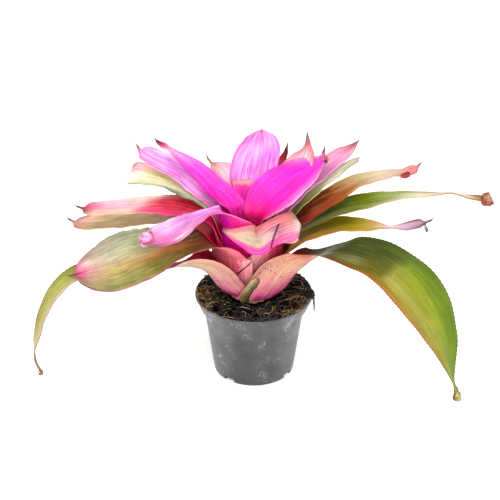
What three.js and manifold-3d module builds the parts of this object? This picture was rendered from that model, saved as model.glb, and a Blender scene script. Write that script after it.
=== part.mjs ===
// A neoregelia bromeliad in its 12 cm nursery pot, in millimetres, +Z up.
// The origin is the middle of the pot's base, on the pot's own axis.
// Each leaf clasps the short stem with a broad sheath, runs up the wall of the cup that all the
// sheaths make together, and then leans out as a strap with a small dark spine at its end.

import * as THREE from 'three';
import { mergeVertices } from 'three/addons/utils/BufferGeometryUtils.js';
import Module from 'manifold-3d';

const wasm = await Module();
wasm.setup();

// ---- Driving dimensions ---------------------------------------------------------------------

const CLEARANCE = 0.3; // between pieces that touch

const POT_HEIGHT = 88.5;
const POT_RIM_RADIUS = 60;
const POT_COLLAR_RADIUS = 55.5; // at the foot of the collar
const POT_COLLAR_HEIGHT = 13;
const POT_BODY_TOP_RADIUS = 51;
const POT_BASE_RADIUS = 41;
const POT_WALL = 1.6;
const POT_FLOOR = 2;
const POT_ROUND = 1.5; // the bevels at its foot, under its collar and at its rim
const POT_LIP = 1; // how much the bead of the rim stands out
const POT_STEP = 2; // from the collar's foot down to the body's full wall
const POT_SIDES = 40;
const NOTCH_WIDTH = 9; // the drain notches at the base edge
const NOTCH_HEIGHT = 3.6;
const NOTCH_DEPTH = 6;
const NOTCH_ANGLES = [-128, -33, 52, 147];

const SOIL_TOP = 87;
const SOIL_LUMP = 0.78; // the height of its lumps
const SOIL_WAVES = [0.55, 0.47, 0.21, 0.31]; // how closely the lumps follow each other
const SOIL_RINGS = 8;
const SOIL_GAP = CLEARANCE + 0.1; // round the soil, where facets meet facets

const STEM_FOOT = 64; // how far down in the soil the stem starts
const STEM_RADIUS = 20.3;
const STEM_FOOT_RADIUS = 14.2;
const STEM_TAPER = 8; // the height over which the foot widens to the full radius
const STEM_CROWN = 0.5; // how far the middle of the top stands up
const STEM_SIDES = 24;
const LEAF_THICKNESS = 0.8;
const LEAF_COLUMNS = { outer: 8, inner: 6 };
const INNER_SHELL = 8; // from here inwards a sheath is small enough for fewer columns
const LONG_ROW = 20; // rows of a blade further apart than this get one more between them
const FAST_NARROWING = 6; // and rows of a sheath whose half widths differ by more than this
const RIB_STEPS = 120;
const NARROWING = 5; // how late in its height a sheath narrows from its foot's clasp to its top's
const PLANT_PLACE = [-4, 0, 2.5]; // the heights of stem and leaves count from here

// The outermost sheath, from the stem to the cup's rim, as [radius, height].
const SHEATH_PROFILE = [
    [21, 90],
    [31, 93],
    [39.5, 102],
    [43, 118],
    [43.5, 136],
];
// Each shell inside it is smaller and starts higher on the stem.
const SHELL_STEP_AT_STEM = 1;
const SHELL_STEP_AT_WALL = 1.9;
const SHELL_STEP_UP = 2.6;
const SHELLS = 19;

const LEAF_ROUGHNESS = 0.45;
const POT_ROUGHNESS = 0.5;
const STEM_ROUGHNESS = 0.8;
const SOIL_ROUGHNESS = 0.95;
const WELD = 1e-4; // points nearer than this are one point
const NARROWEST = 0.6; // half width of a blade's very tip
const FLATTEST = 0.01; // cupping in radians below which a section counts as flat
const TENSION = 0.5; // of the curves through the rows

// ---- Leaves ---------------------------------------------------------------------------------
// azimuth: where the leaf points, in degrees from +X towards +Y
// shell: how many sheaths lie outside its own
// clasp: half the angle that the sheath takes round the stem, at its foot and at its top
// lean: how far round the stem the sheath's midrib stands from the azimuth
// sheathRows: how many rows of the sheath's profile the leaf follows, all of them if not given
// blade: its rows, from the sheath to the tip:
//   [out from the axis, sideways, up, half width, twist in degrees, cupping in degrees, wrap]
// wrap, from 1 to 0, is how far the row still curves round the stem as the sheath does

const LEAVES = [
    {
        name: 'leaf_01', azimuth: 205, shell: 1, clasp: [78, 80], sheathRows: 3, color: 0x9a9a4a,
        blade: [
            [44.5, 0, 116, 45.5, 6, 60, 0.8], [54, -2, 125, 41, 10, 64, 0.3],
            [66, -8, 127, 21, 8, 40], [80, -16, 126, 10, 0, 12], [96, -22, 127, 9, -15, 12],
            [118, -28, 129, 10, -30, 12], [146, -38, 131, 10, -38, 15], [170, -46, 124, 9, -45, 15],
            [189, -52, 107, 8, -50, 15], [202, -56, 82, 7, -50, 15], [210, -58, 56, 5.5, -40, 10],
            [214, -59, 38, 3.5, -20, 0], [213, -57, 24, 1.8, 0, 0], [209, -54, 14, 2.5, 0, 0],
        ],
    },
    {
        name: 'leaf_02', azimuth: 195, shell: 3, clasp: [80, 76], color: 0x7c8c54,
        blade: [
            [43, 0, 151, 45, 6, 46, 0.6], [56, 1, 152, 23, -4, 30, 0.2], [76, 0, 150, 19, -22, 15],
            [98, 0, 147, 26, -30, 12], [122, 1, 143, 30, -32, 10], [144, 2, 137, 28, -32, 8],
            [162, 1, 133, 21, -30, 5], [173, 1, 132, 13, -20, 5], [177, 1, 132, 5, -10, 0],
            [182, 1, 132, 0.8, 0, 0],
        ],
    },
    {
        name: 'leaf_03', azimuth: 170, shell: 5, clasp: [54, 46], color: 0xc04070,
        blade: [
            [38, 0, 168, 20, -5, 25], [52, 0, 173, 15, -5, 20], [77, 0, 176, 17, -8, 20],
            [102, 0, 175, 15, -8, 15], [128, 0, 172, 13, -8, 10], [154, 0, 168, 11, -8, 5],
            [168, 0, 166, 9, -5, 0], [171, 0, 166, 3, 0, 0], [178, 0, 168, 0.8, 0, 0],
        ],
    },
    {
        name: 'leaf_04', azimuth: 168, shell: 4, clasp: [50, 44], color: 0x9a8a50,
        blade: [
            [50, -1, 160, 19, -3, 25], [76, -3, 163, 18, -5, 20], [105, -5, 157, 21, -8, 20],
            [131, -6, 152, 20, -8, 15], [158, -6, 146, 17, -8, 10], [176, -6, 143, 13, -8, 5],
            [184, -6, 143, 9, -5, 0], [186, -6, 143, 3, 0, 0], [192, -6, 146, 0.8, 0, 0],
        ],
    },
    {
        name: 'leaf_05', azimuth: 158, shell: 7, clasp: [48, 40], color: 0xc0c8a0,
        blade: [
            [40, -1, 174, 13, 0, 25], [65, -2, 185, 15, -5, 20], [87, -2, 192, 14, -5, 20],
            [109, -2, 196, 14, -8, 20], [124, -2, 196, 12, -10, 25], [130, -2, 196, 10, -5, 20],
            [133, -2, 196, 7, 0, 0],
        ],
    },
    {
        name: 'leaf_06', azimuth: 150, shell: 9, clasp: [36, 28], color: 0xc880c0,
        blade: [
            [37, 0, 175, 13, -5, 25], [52, 0, 186, 14, -12, 20], [71, 0, 197, 13, -18, 20],
            [92, 0, 205, 12, -18, 15], [112, 0, 210, 12, -15, 10], [124, 0, 213, 10, -10, 10],
            [128, 1, 214, 5, 0, 0], [131, 2, 220, 0.8, 0, 0],
        ],
    },
    {
        name: 'leaf_07', azimuth: 148, shell: 14, clasp: [66, 46], color: 0xe030c0,
        blade: [
            [19, 0, 180, 13, -5, 25], [30, 0, 187, 13, -15, 20], [45, 0, 196, 12, -20, 20],
            [62, 0, 207, 10, -20, 20], [80, 1, 216, 7, -15, 20], [94, 2, 223, 3.5, -5, 10],
            [100, 3, 226, 4.5, 0, 10], [106, 4, 229, 3, 0, 0], [109, 4, 231, 0.8, 0, 0],
        ],
    },
    {
        name: 'leaf_08', azimuth: 114, shell: 10, clasp: [20, 20], color: 0xf0b0c8,
        blade: [
            [38, -1, 179, 11, 0, 25], [52, -1, 190, 13, 0, 20], [64, 1, 196, 11, 0, 15],
            [76, 6, 197, 6, 0, 5], [79, 8, 198, 2, 0, 0], [84, 10, 202, 0.8, 0, 0],
        ],
    },
    {
        name: 'leaf_09', azimuth: 86, shell: 12, clasp: [62, 56], color: 0xf090e8,
        blade: [
            [28, 0, 177, 20, 0, 35, 0.5], [36, 0, 186, 22, 0, 35], [45, 0, 196, 24, 0, 30],
            [52, -2, 207, 23, 0, 25], [60, -7, 218, 19.5, 0, 20], [66, -9, 226, 14, 0, 10],
            [69, -8, 230, 7, 0, 0], [71, -6, 235, 0.8, 0, 0],
        ],
    },
    {
        name: 'leaf_10', azimuth: 68, shell: 10, clasp: [22, 22], color: 0xa02030,
        blade: [
            [42, -1, 177, 12, 0, 25], [58, -2, 189, 11, 0, 20], [72, -4, 199, 8, 0, 15],
            [80, -6, 206, 4, 0, 10], [83, -6, 208, 3, 0, 0], [88, -6, 214, 0.8, 0, 0],
        ],
    },
    {
        name: 'leaf_11', azimuth: 52, shell: 11, clasp: [50, 46], color: 0xf0a090,
        blade: [
            [36, 0, 178, 14, 0, 25], [52, 1, 193.5, 13.5, 0, 20], [67, 1.5, 206, 10, 0, 15],
            [78, -1, 215, 7.5, 0, 10], [86, -3, 221.5, 4, 0, 0], [92, -2, 229, 0.8, 0, 0],
        ],
    },
    {
        name: 'leaf_12', azimuth: 32, shell: 16, clasp: [64, 46], sheathRows: 4, color: 0xe020d0,
        blade: [
            [12.5, 2.5, 170, 16.5, 12, 45, 0.7], [19, 1.5, 179, 23.5, 15, 35, 0.3],
            [28, 0.5, 187, 26, 18, 25], [41, -1.5, 195, 26, 18, 18], [59, -1.5, 202, 23, 15, 15],
            [72, -2, 206, 18.5, 14, 15], [80, -1.5, 208.5, 13, 13, 10], [86, -1, 211.5, 8, 12, 5],
            [88, 1, 216, 3, 10, 0], [90, 2, 224, 0.8, 0, 0],
        ],
    },
    {
        name: 'leaf_13', azimuth: 34, shell: 9, clasp: [42, 38], color: 0xf080c0,
        blade: [
            [38, 0, 168, 12, 0, 25], [62, 0, 186, 13, 0, 20], [88, 0, 200, 14, 0, 15],
            [110, 0, 210, 12, 0, 10], [124, 0, 215, 6, 0, 0], [133, 0, 220, 0.8, 0, 0],
        ],
    },
    {
        name: 'leaf_14', azimuth: 26, shell: 8, clasp: [46, 42], color: 0xc8c8a0,
        blade: [
            [40, 0, 164, 13, 0, 25], [60, 0, 180, 13, 0, 20], [78, 0, 191, 11, 0, 15],
            [94, 0, 198, 8, 0, 10], [108, 0, 205, 6, 0, 10], [118, 0, 209, 5, 0, 0],
            [122, 0, 211, 2, 0, 0],
        ],
    },
    {
        name: 'leaf_15', azimuth: 12, shell: 7, clasp: [50, 44], color: 0xa04038,
        blade: [
            [40, 0, 158, 15, 3, 25], [62, 0, 172, 16, 5, 15], [87, 0, 187, 15, 5, 15],
            [112, 0, 200, 12, 5, 15], [138, 0, 204, 9, 0, 10], [158, 0, 205, 8.5, 0, 5],
            [168, 0, 208, 8, 0, 0], [171, 0, 210, 3, 0, 0], [174, 0, 213, 0.8, 0, 0],
        ],
    },
    {
        name: 'leaf_16', azimuth: 3, shell: 6, clasp: [48, 28], color: 0x506028,
        blade: [
            [46, 2, 155, 11, 0, 25], [68, 0, 168, 17, 3, 20], [94, 0, 179, 18, 5, 20],
            [124, 0, 186, 15, 5, 20], [154, 0, 191, 11, 0, 15], [179, 0, 192, 5, 0, 10],
            [201, 0, 193, 2.5, 0, 5], [219, 0, 188, 5, 0, 10], [231, 0, 185, 8, 0, 20],
            [239, 0, 184, 6, 0, 10], [242, 0, 183, 2, 0, 0],
        ],
    },
    {
        name: 'leaf_17', azimuth: -8, shell: 2, clasp: [70, 56], color: 0x707030,
        blade: [
            [52, 0, 150, 20, 0, 25], [68, 0, 160, 18, 0, 20], [92, 0, 168, 17, 0, 20],
            [119, 0, 170, 11, 0, 15], [140, 0, 171, 3.5, 0, 5], [156, 0, 173, 8, 0, 10],
            [168, 0, 176, 9, 0, 10], [172, 0, 178, 4, 0, 0], [179, 0, 182, 0.8, 0, 0],
        ],
    },
    {
        name: 'leaf_18', azimuth: -33, shell: 0, clasp: [76, 76], sheathRows: 3, color: 0x6c8c2c,
        blade: [
            [47.5, 0, 116, 52, -8, 62, 0.8], [56, 2, 128, 46, -14, 64, 0.3],
            [67, 5, 141, 29, -16, 42], [86, 5, 155, 19, -5, 18], [115, 3, 166, 21, 15, 10],
            [146, 0, 168, 23, 20, 5], [169, -4, 163, 24, 22, 5], [188, -6, 153, 25, 25, 5],
            [207, -7, 134, 23, 25, 5], [223, -6, 104, 15, 20, 5], [231, -5, 76, 6, 10, 5],
            [235, -3, 60, 1.5, 0, 0], [237, -2, 52, 4, 0, 0], [238, -2, 46, 0.8, 0, 0],
        ],
    },
    {
        name: 'leaf_19', azimuth: -50, shell: 5, clasp: [68, 36], color: 0xf0a0a8,
        blade: [
            [37, -1, 158, 11.5, 0, 0, 1], [43, 6, 167, 14, 20, 0, 0.4],
            [48.5, 14, 173, 19.5, 42, 16], [51, 18, 180, 21, 57, 22], [49, 12, 186, 21, 60, 25],
            [46, 3, 183.5, 19, 53, 25], [43.5, -8, 177.5, 16.5, 37, 24],
            [39, -17.5, 171, 15, 20, 20], [32, -28, 169.5, 11.5, 5, 10], [21, -39, 173, 5, -5, 0],
            [16, -44, 175.5, 1.5, 0, 0],
        ],
    },
    {
        name: 'leaf_20', azimuth: 103, shell: 13, clasp: [46, 44], color: 0xe02090,
        blade: [
            [24, 0, 176, 11, 0, 40, 0.5], [29, 0, 183, 12, 0, 35], [33, 0, 190, 11, 0, 35],
            [37, 0, 193, 9, 0, 20], [40, 0, 193, 4, 0, 0],
        ],
    },
    {
        name: 'leaf_21', azimuth: 203, lean: 25, shell: 8, clasp: [54, 48], color: 0xe070c8,
        blade: [
            [26, 12, 176, 26, 0, 0, 1], [30, 7, 185, 20, 0, 0, 1], [36, 1, 187, 14, -10, 5, 0.7],
            [46, -1, 184.5, 16, -30, 12, 0.2], [61, -2.5, 180, 19.5, -42, 12],
            [83, -3, 172, 23.5, -46, 14], [98, -4, 168, 20, -48, 20], [108, -4, 166, 12, -45, 20],
            [113, -4, 165, 3, -40, 0],
        ],
    },
    {
        name: 'leaf_22', azimuth: 98, shell: 0, clasp: [28, 28], color: 0x8a9a50,
        blade: [
            [54, 0, 135, 20, 0, 20], [80, 0, 136, 22, 0, 20], [108, 0, 122, 21, 0, 15],
            [132, 0, 96, 16, 0, 10], [146, 0, 68, 8, 0, 5], [151, 0, 54, 0.8, 0, 0],
        ],
    },
    {
        name: 'leaf_23', azimuth: 72, shell: 1, clasp: [50, 38], color: 0x7a9040,
        blade: [
            [54, 0, 142, 20, 0, 25], [82, 0, 144, 21, 0, 20], [112, 0, 132, 20, 0, 15],
            [136, 0, 108, 15, 0, 10], [150, 0, 84, 7, 0, 5], [155, 0, 72, 0.8, 0, 0],
        ],
    },
    {
        name: 'leaf_24', azimuth: 122, shell: 2, clasp: [52, 38], color: 0x92a058,
        blade: [
            [54, 0, 146, 20, 0, 25], [80, 0, 150, 20, 0, 20], [106, 0, 140, 19, 0, 15],
            [128, 0, 118, 14, 0, 10], [141, 0, 96, 7, 0, 5], [146, 0, 84, 0.8, 0, 0],
        ],
    },
    {
        name: 'leaf_25', azimuth: -70, shell: 17, clasp: [55, 45], sheathRows: 3, color: 0xd81878,
        blade: [
            [9, 0, 150, 8, 0, 0, 1], [9, 0, 157, 5, 0, 0, 1], [9, 0, 162, 0.8, 0, 0, 1],
        ],
    },
    {
        name: 'leaf_26', azimuth: 168, shell: 18, clasp: [55, 45], sheathRows: 3, color: 0xd81878,
        blade: [
            [7.5, 0, 152, 7, 0, 0, 1], [7.5, 0, 159, 4, 0, 0, 1], [7.5, 0, 164, 0.8, 0, 0, 1],
        ],
    },
    {
        name: 'leaf_27', azimuth: 50, shell: 19, clasp: [55, 45], sheathRows: 3, color: 0xd81878,
        blade: [
            [6, 0, 154, 6, 0, 0, 1], [6, 0, 161, 3.5, 0, 0, 1], [6, 0, 166, 0.8, 0, 0, 1],
        ],
    },
    {
        name: 'dry_bract', azimuth: -97, shell: -0.5, clasp: [7, 6], sheathRows: 3, color: 0x8a8048,
        blade: [
            [46.5, 3, 110, 6.5, 0, 0, 1], [50, 6, 119, 5, 0, 0, 1], [51.5, 9, 126, 1.5, 0, 0, 1],
        ],
    },
];

// ---- Shapes ---------------------------------------------------------------------------------

const radians = THREE.MathUtils.degToRad;

// A mesh from its points and triangles.
function meshOf(name, points, triangles, color, roughness) {
    const geometry = new THREE.BufferGeometry();
    geometry.setAttribute('position', new THREE.Float32BufferAttribute(points.flat(), 3));
    geometry.setIndex(triangles.flat());
    geometry.computeVertexNormals();
    const material = new THREE.MeshStandardMaterial({ color, roughness, metalness: 0 });
    const mesh = new THREE.Mesh(geometry, material);
    mesh.name = name;
    return mesh;
}

// The profile of a sheath, at a share of its height from 0 to 1, as [radius, height].
function sheathAt(shell, share) {
    const place = share * (SHEATH_PROFILE.length - 1);
    const low = Math.min(Math.floor(place), SHEATH_PROFILE.length - 2);
    const between = place - low;
    const radius = THREE.MathUtils.lerp(SHEATH_PROFILE[low][0], SHEATH_PROFILE[low + 1][0], between);
    const height = THREE.MathUtils.lerp(SHEATH_PROFILE[low][1], SHEATH_PROFILE[low + 1][1], between);
    const foot = SHEATH_PROFILE[0][0];
    const wall = SHEATH_PROFILE[SHEATH_PROFILE.length - 1][0];
    const outward = (radius - foot) / (wall - foot);
    const step = THREE.MathUtils.lerp(SHELL_STEP_AT_STEM, SHELL_STEP_AT_WALL, outward);
    return [radius - shell * step, height + shell * SHELL_STEP_UP];
}

// The rows of a whole leaf: those of its sheath, and then those of its blade.
function leafRows(leaf) {
    const sheathRows = SHEATH_PROFILE.slice(0, leaf.sheathRows).map((_, index) => {
        const share = index / (SHEATH_PROFILE.length - 1);
        const [radius, height] = sheathAt(leaf.shell, share);
        const clasp = radians(THREE.MathUtils.lerp(leaf.clasp[0], leaf.clasp[1], share ** NARROWING));
        const lean = radians(leaf.lean ?? 0);
        const place = [radius * Math.cos(lean), radius * Math.sin(lean), height];
        return { place, half: radius * clasp, twist: 0, cup: 0, wrap: 1 };
    });
    const bladeRows = leaf.blade.map(([out, side, up, half, twist, cup, wrap], index) => {
        const roundness = wrap ?? (index === 0 ? 0.5 : 0);
        return { place: [out, side, up], half, twist: radians(twist), cup: radians(cup), wrap: roundness };
    });
    return [...sheathRows, ...bladeRows];
}

// The middle surface of a leaf as a function of how far along it and how far across it, -1 to 1.
// The blade's cross-section is an arc set across the rib. The direction across the rib goes round
// the stem in the sheath, is carried from there with no turn of its own, and gets the row's twist.
function leafSurface(leaf) {
    const rows = leafRows(leaf);
    const turn = radians(leaf.azimuth);
    const outward = new THREE.Vector3(Math.cos(turn), Math.sin(turn), 0);
    const sideways = new THREE.Vector3(-Math.sin(turn), Math.cos(turn), 0);
    const rib = new THREE.CatmullRomCurve3(rows.map(({ place: [out, side, up] }) => (
        new THREE.Vector3(0, 0, up).addScaledVector(outward, out).addScaledVector(sideways, side)
    )), false, 'catmullrom', TENSION);
    const section = new THREE.CatmullRomCurve3(rows.map(({ half, twist, cup }) => (
        new THREE.Vector3(half, twist, cup)
    )), false, 'catmullrom', TENSION);
    const sheathEnd = rows.findLastIndex(({ wrap }) => wrap === 1) / (rows.length - 1);
    const across = [];
    for (let step = 0; step <= RIB_STEPS; step += 1) {
        const along = step / RIB_STEPS;
        const tangent = rib.getTangent(along);
        const middle = rib.getPoint(along);
        const round = new THREE.Vector3(-middle.y, middle.x, 0).normalize();
        const last = along <= sheathEnd ? round : across[step - 1];
        across.push(last.clone().addScaledVector(tangent, -last.dot(tangent)).normalize());
    }
    return (along, share) => {
        const place = along * (rows.length - 1);
        const low = Math.min(Math.floor(place), rows.length - 2);
        const wrap = THREE.MathUtils.lerp(rows[low].wrap, rows[low + 1].wrap, place - low);
        const values = section.getPoint(along);
        const half = Math.max(values.x, NARROWEST);
        const bend = Math.max(values.z, FLATTEST);
        const middle = rib.getPoint(along);
        const tangent = rib.getTangent(along);
        const level = across[Math.round(along * RIB_STEPS)].clone();
        level.addScaledVector(tangent, -level.dot(tangent)).normalize();
        const lateral = level.applyAxisAngle(tangent, values.y);
        const inward = tangent.clone().cross(lateral);
        const blade = middle.clone()
            .addScaledVector(lateral, half * Math.sin(share * bend) / bend)
            .addScaledVector(inward, half * (1 - Math.cos(share * bend)) / bend);
        if (wrap === 0) return blade;
        const radius = Math.hypot(middle.x, middle.y);
        const around = Math.atan2(middle.y, middle.x) + share * half / radius;
        const sheath = new THREE.Vector3(radius * Math.cos(around), radius * Math.sin(around), middle.z);
        return blade.lerp(sheath, wrap);
    };
}

// How far along the leaf each row of faces ends: at every row, and halfway between distant ones.
function leafStations(leaf) {
    const rows = leafRows(leaf);
    const steps = rows.length - 1;
    return rows.flatMap(({ place, half, wrap }, index) => {
        if (index === steps) return [1];
        const next = rows[index + 1];
        const distance = Math.hypot(...place.map((value, axis) => next.place[axis] - value));
        const narrows = wrap === 1 && half - next.half > FAST_NARROWING;
        const halfway = narrows || (wrap < 1 && distance > LONG_ROW);
        return halfway ? [index / steps, (index + 0.5) / steps] : [index / steps];
    });
}

// A leaf as one thin closed body: its surface, half a thickness to either side.
function leafMesh(leaf) {
    const surface = leafSurface(leaf);
    const stations = leafStations(leaf);
    const rows = stations.length - 1;
    const columns = leaf.shell < INNER_SHELL ? LEAF_COLUMNS.outer : LEAF_COLUMNS.inner;
    const middle = stations.flatMap((along) => (
        Array.from({ length: columns + 1 }, (_, column) => surface(along, 2 * column / columns - 1))
    ));
    const at = (row, column) => row * (columns + 1) + column;
    const faces = [];
    for (let row = 0; row < rows; row += 1) {
        for (let column = 0; column < columns; column += 1) {
            const [a, b] = [at(row, column), at(row + 1, column)];
            const [c, d] = [at(row + 1, column + 1), at(row, column + 1)];
            if (column < columns / 2) faces.push([a, b, c], [a, c, d]);
            else faces.push([a, b, d], [b, c, d]);
        }
    }
    const normals = middle.map(() => new THREE.Vector3());
    faces.forEach(([a, b, c]) => {
        const normal = middle[b].clone().sub(middle[a]).cross(middle[c].clone().sub(middle[a]));
        [a, b, c].forEach((corner) => normals[corner].add(normal));
    });
    normals.forEach((normal) => normal.normalize());
    const side = (sign) => middle.map((point, index) => (
        point.clone().addScaledVector(normals[index], sign * LEAF_THICKNESS / 2).toArray()
    ));
    const points = [...side(1), ...side(-1)];
    const under = middle.length;
    const triangles = [
        ...faces,
        ...faces.map(([a, b, c]) => [a + under, c + under, b + under]),
    ];
    const edge = [];
    for (let row = 0; row < rows; row += 1) edge.push(at(row, 0));
    for (let column = 0; column < columns; column += 1) edge.push(at(rows, column));
    for (let row = rows; row > 0; row -= 1) edge.push(at(row, columns));
    for (let column = columns; column > 0; column -= 1) edge.push(at(0, column));
    edge.forEach((a, index) => {
        const b = edge[(index + 1) % edge.length];
        triangles.push([a, a + under, b], [b, a + under, b + under]);
    });
    return meshOf(leaf.name, points, triangles, leaf.color, LEAF_ROUGHNESS);
}

// A body of revolution from its profile, as merged points and triangles.
function lathe(profile, sides) {
    const geometry = new THREE.LatheGeometry(profile.map(([x, y]) => new THREE.Vector2(x, y)), sides);
    geometry.rotateX(Math.PI / 2);
    geometry.deleteAttribute('normal');
    geometry.deleteAttribute('uv');
    return mergeVertices(geometry, WELD);
}

function solidOf(geometry) {
    return new wasm.Manifold(new wasm.Mesh({
        numProp: 3,
        vertProperties: new Float32Array(geometry.attributes.position.array),
        triVerts: new Uint32Array(geometry.index.array),
    }));
}

function meshOfSolid(name, solid, color, roughness) {
    const { vertProperties, triVerts } = solid.getMesh();
    const geometry = new THREE.BufferGeometry();
    geometry.setAttribute('position', new THREE.Float32BufferAttribute(Array.from(vertProperties), 3));
    geometry.setIndex(Array.from(triVerts));
    geometry.computeVertexNormals();
    const material = new THREE.MeshStandardMaterial({ color, roughness, metalness: 0 });
    const mesh = new THREE.Mesh(geometry, material);
    mesh.name = name;
    return mesh;
}

function potMesh() {
    const collarFoot = POT_HEIGHT - POT_COLLAR_HEIGHT;
    const inside = POT_BODY_TOP_RADIUS - POT_WALL;
    const profile = [
        [0, 0],
        [POT_BASE_RADIUS - POT_ROUND, 0],
        [POT_BASE_RADIUS, POT_ROUND],
        [POT_BODY_TOP_RADIUS, collarFoot - 2 * POT_ROUND],
        [POT_COLLAR_RADIUS, collarFoot],
        [POT_RIM_RADIUS - POT_LIP, POT_HEIGHT - 2 * POT_ROUND],
        [POT_RIM_RADIUS, POT_HEIGHT - POT_ROUND],
        [POT_RIM_RADIUS - POT_LIP / 2, POT_HEIGHT],
        [POT_RIM_RADIUS - 2 * POT_LIP, POT_HEIGHT],
        [POT_COLLAR_RADIUS - POT_WALL, collarFoot + POT_ROUND],
        [inside, collarFoot - POT_STEP],
        [POT_BASE_RADIUS - POT_WALL, POT_FLOOR],
        [0, POT_FLOOR],
    ];
    let solid = solidOf(lathe(profile, POT_SIDES));
    NOTCH_ANGLES.forEach((angle) => {
        const cutter = new THREE.BoxGeometry(2 * NOTCH_DEPTH, NOTCH_WIDTH, 2 * NOTCH_HEIGHT);
        cutter.translate(POT_BASE_RADIUS, 0, 0);
        cutter.rotateZ(radians(angle));
        cutter.deleteAttribute('normal');
        cutter.deleteAttribute('uv');
        solid = solid.subtract(solidOf(mergeVertices(cutter, WELD)));
    });
    return meshOfSolid('pot', solid, 0x4a4c50, POT_ROUGHNESS);
}

function stemMesh() {
    const top = SHEATH_PROFILE[0][1];
    const profile = [
        [0, STEM_FOOT],
        [STEM_FOOT_RADIUS, STEM_FOOT],
        [STEM_RADIUS, STEM_FOOT + STEM_TAPER],
        [STEM_RADIUS, top],
        [STEM_RADIUS - SHELL_STEP_AT_STEM * SHELLS, top + SHELL_STEP_UP * SHELLS],
        [0, top + SHELL_STEP_UP * SHELLS + STEM_CROWN],
    ];
    const geometry = lathe(profile, STEM_SIDES);
    return meshOfSolid('stem', solidOf(geometry), 0x6a3a34, STEM_ROUGHNESS);
}

// The height of the potting mix at a place on its lumpy top.
function soilHeight(x, y) {
    const [small, cross, broad, slant] = SOIL_WAVES;
    const lumps = Math.sin(x * small + 1.3) * Math.cos(y * cross) + 0.6 * Math.sin(x * broad - y * slant);
    return SOIL_TOP + SOIL_LUMP * lumps;
}

// The potting mix fills the pot, and the stem stands in a plain hole in it.
function soilMesh() {
    const collarFoot = POT_HEIGHT - POT_COLLAR_HEIGHT;
    const edge = POT_RIM_RADIUS - POT_WALL - 4 * SOIL_GAP;
    const rings = Array.from({ length: SOIL_RINGS + 1 }, (_, index) => (
        [edge * (1 - index / SOIL_RINGS), SOIL_TOP]
    ));
    const profile = [
        [0, POT_FLOOR + SOIL_GAP],
        [POT_BASE_RADIUS - POT_WALL - SOIL_GAP, POT_FLOOR + SOIL_GAP],
        [POT_BODY_TOP_RADIUS - POT_WALL - 2 * SOIL_GAP, collarFoot - POT_STEP],
        [POT_COLLAR_RADIUS - POT_WALL - 2 * SOIL_GAP, collarFoot + POT_ROUND],
        ...rings,
    ];
    const geometry = lathe(profile, POT_SIDES);
    const position = geometry.attributes.position;
    for (let index = 0; index < position.count; index += 1) {
        if (Math.abs(position.getZ(index) - SOIL_TOP) < 0.001) {
            position.setZ(index, soilHeight(position.getX(index), position.getY(index)));
        }
    }
    const hole = lathe([
        [0, STEM_FOOT - SOIL_GAP],
        [STEM_RADIUS + SOIL_GAP, STEM_FOOT - SOIL_GAP],
        [STEM_RADIUS + SOIL_GAP, POT_HEIGHT + 10],
        [0, POT_HEIGHT + 10],
    ], STEM_SIDES);
    hole.translate(PLANT_PLACE[0], PLANT_PLACE[1], 0);
    return meshOfSolid('soil', solidOf(geometry).subtract(solidOf(hole)), 0x2a1c14, SOIL_ROUGHNESS);
}

const group = new THREE.Group();
group.add(potMesh());
group.add(soilMesh());
const plant = new THREE.Group();
plant.position.set(...PLANT_PLACE);
plant.add(stemMesh());
LEAVES.forEach((leaf) => plant.add(leafMesh(leaf)));
group.add(plant);

export default group;
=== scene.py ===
import math
import random

import bpy
import numpy as np
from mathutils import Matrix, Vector, noise


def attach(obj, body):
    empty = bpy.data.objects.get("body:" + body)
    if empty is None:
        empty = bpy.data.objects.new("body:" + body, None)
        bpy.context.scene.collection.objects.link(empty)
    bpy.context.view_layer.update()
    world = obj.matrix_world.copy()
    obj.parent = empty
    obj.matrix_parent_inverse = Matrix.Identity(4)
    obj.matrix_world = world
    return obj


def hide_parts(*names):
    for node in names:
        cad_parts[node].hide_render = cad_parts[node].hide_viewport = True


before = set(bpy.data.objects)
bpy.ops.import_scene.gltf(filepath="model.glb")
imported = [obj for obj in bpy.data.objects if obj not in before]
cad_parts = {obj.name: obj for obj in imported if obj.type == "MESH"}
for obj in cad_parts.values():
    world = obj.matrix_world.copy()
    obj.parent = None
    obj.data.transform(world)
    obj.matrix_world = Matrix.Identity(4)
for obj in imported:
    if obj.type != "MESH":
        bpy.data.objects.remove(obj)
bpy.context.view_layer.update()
bpy.ops.object.select_all(action="DESELECT")

# ---- Studio ---------------------------------------------------------------------------------
# A white sweep of paper under and behind the plant, broad softboxes overhead and in front, a low
# card and two strips for the shaded sides, and a long lens that looks down from standing height.

PAPER_DROP = 0.0004         # how far the paper lies under the pot's foot, so that the two don't meet
LENS, FILM_WIDTH = 114.6, 36        # in millimetres
CAMERA_DISTANCE, CAMERA_ASIDE, AIM_HEIGHT = 1.6, -0.004, 0.137
LOOK_DOWN = math.radians(29)


def pigment(code, strength=1.0):
    """A colour as the shader wants it, from a painter's hex code."""
    parts = [int(code[i:i + 2], 16) / 255 for i in (1, 3, 5)]
    linear = (p / 12.92 if p <= 0.04045 else ((p + 0.055) / 1.055) ** 2.4 for p in parts)
    return tuple(strength * part for part in linear) + (1.0,)


def feed(node, inputs):
    """Sets each named input of a shader node: to a value, a hex code or another node's output."""
    for name, value in inputs.items():
        if isinstance(value, bpy.types.NodeSocket):
            node.id_data.links.new(value, node.inputs[name])
        else:
            node.inputs[name].default_value = pigment(value) if isinstance(value, str) else value


def finish(material, inputs):
    """Sets these inputs of the material's Principled shader."""
    feed(material.node_tree.nodes["Principled BSDF"], inputs)


def new_material(name, inputs=()):
    """A material whose Principled shader has these inputs."""
    material = bpy.data.materials.new(name)
    material.use_nodes = True
    finish(material, dict(inputs))
    return material


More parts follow.
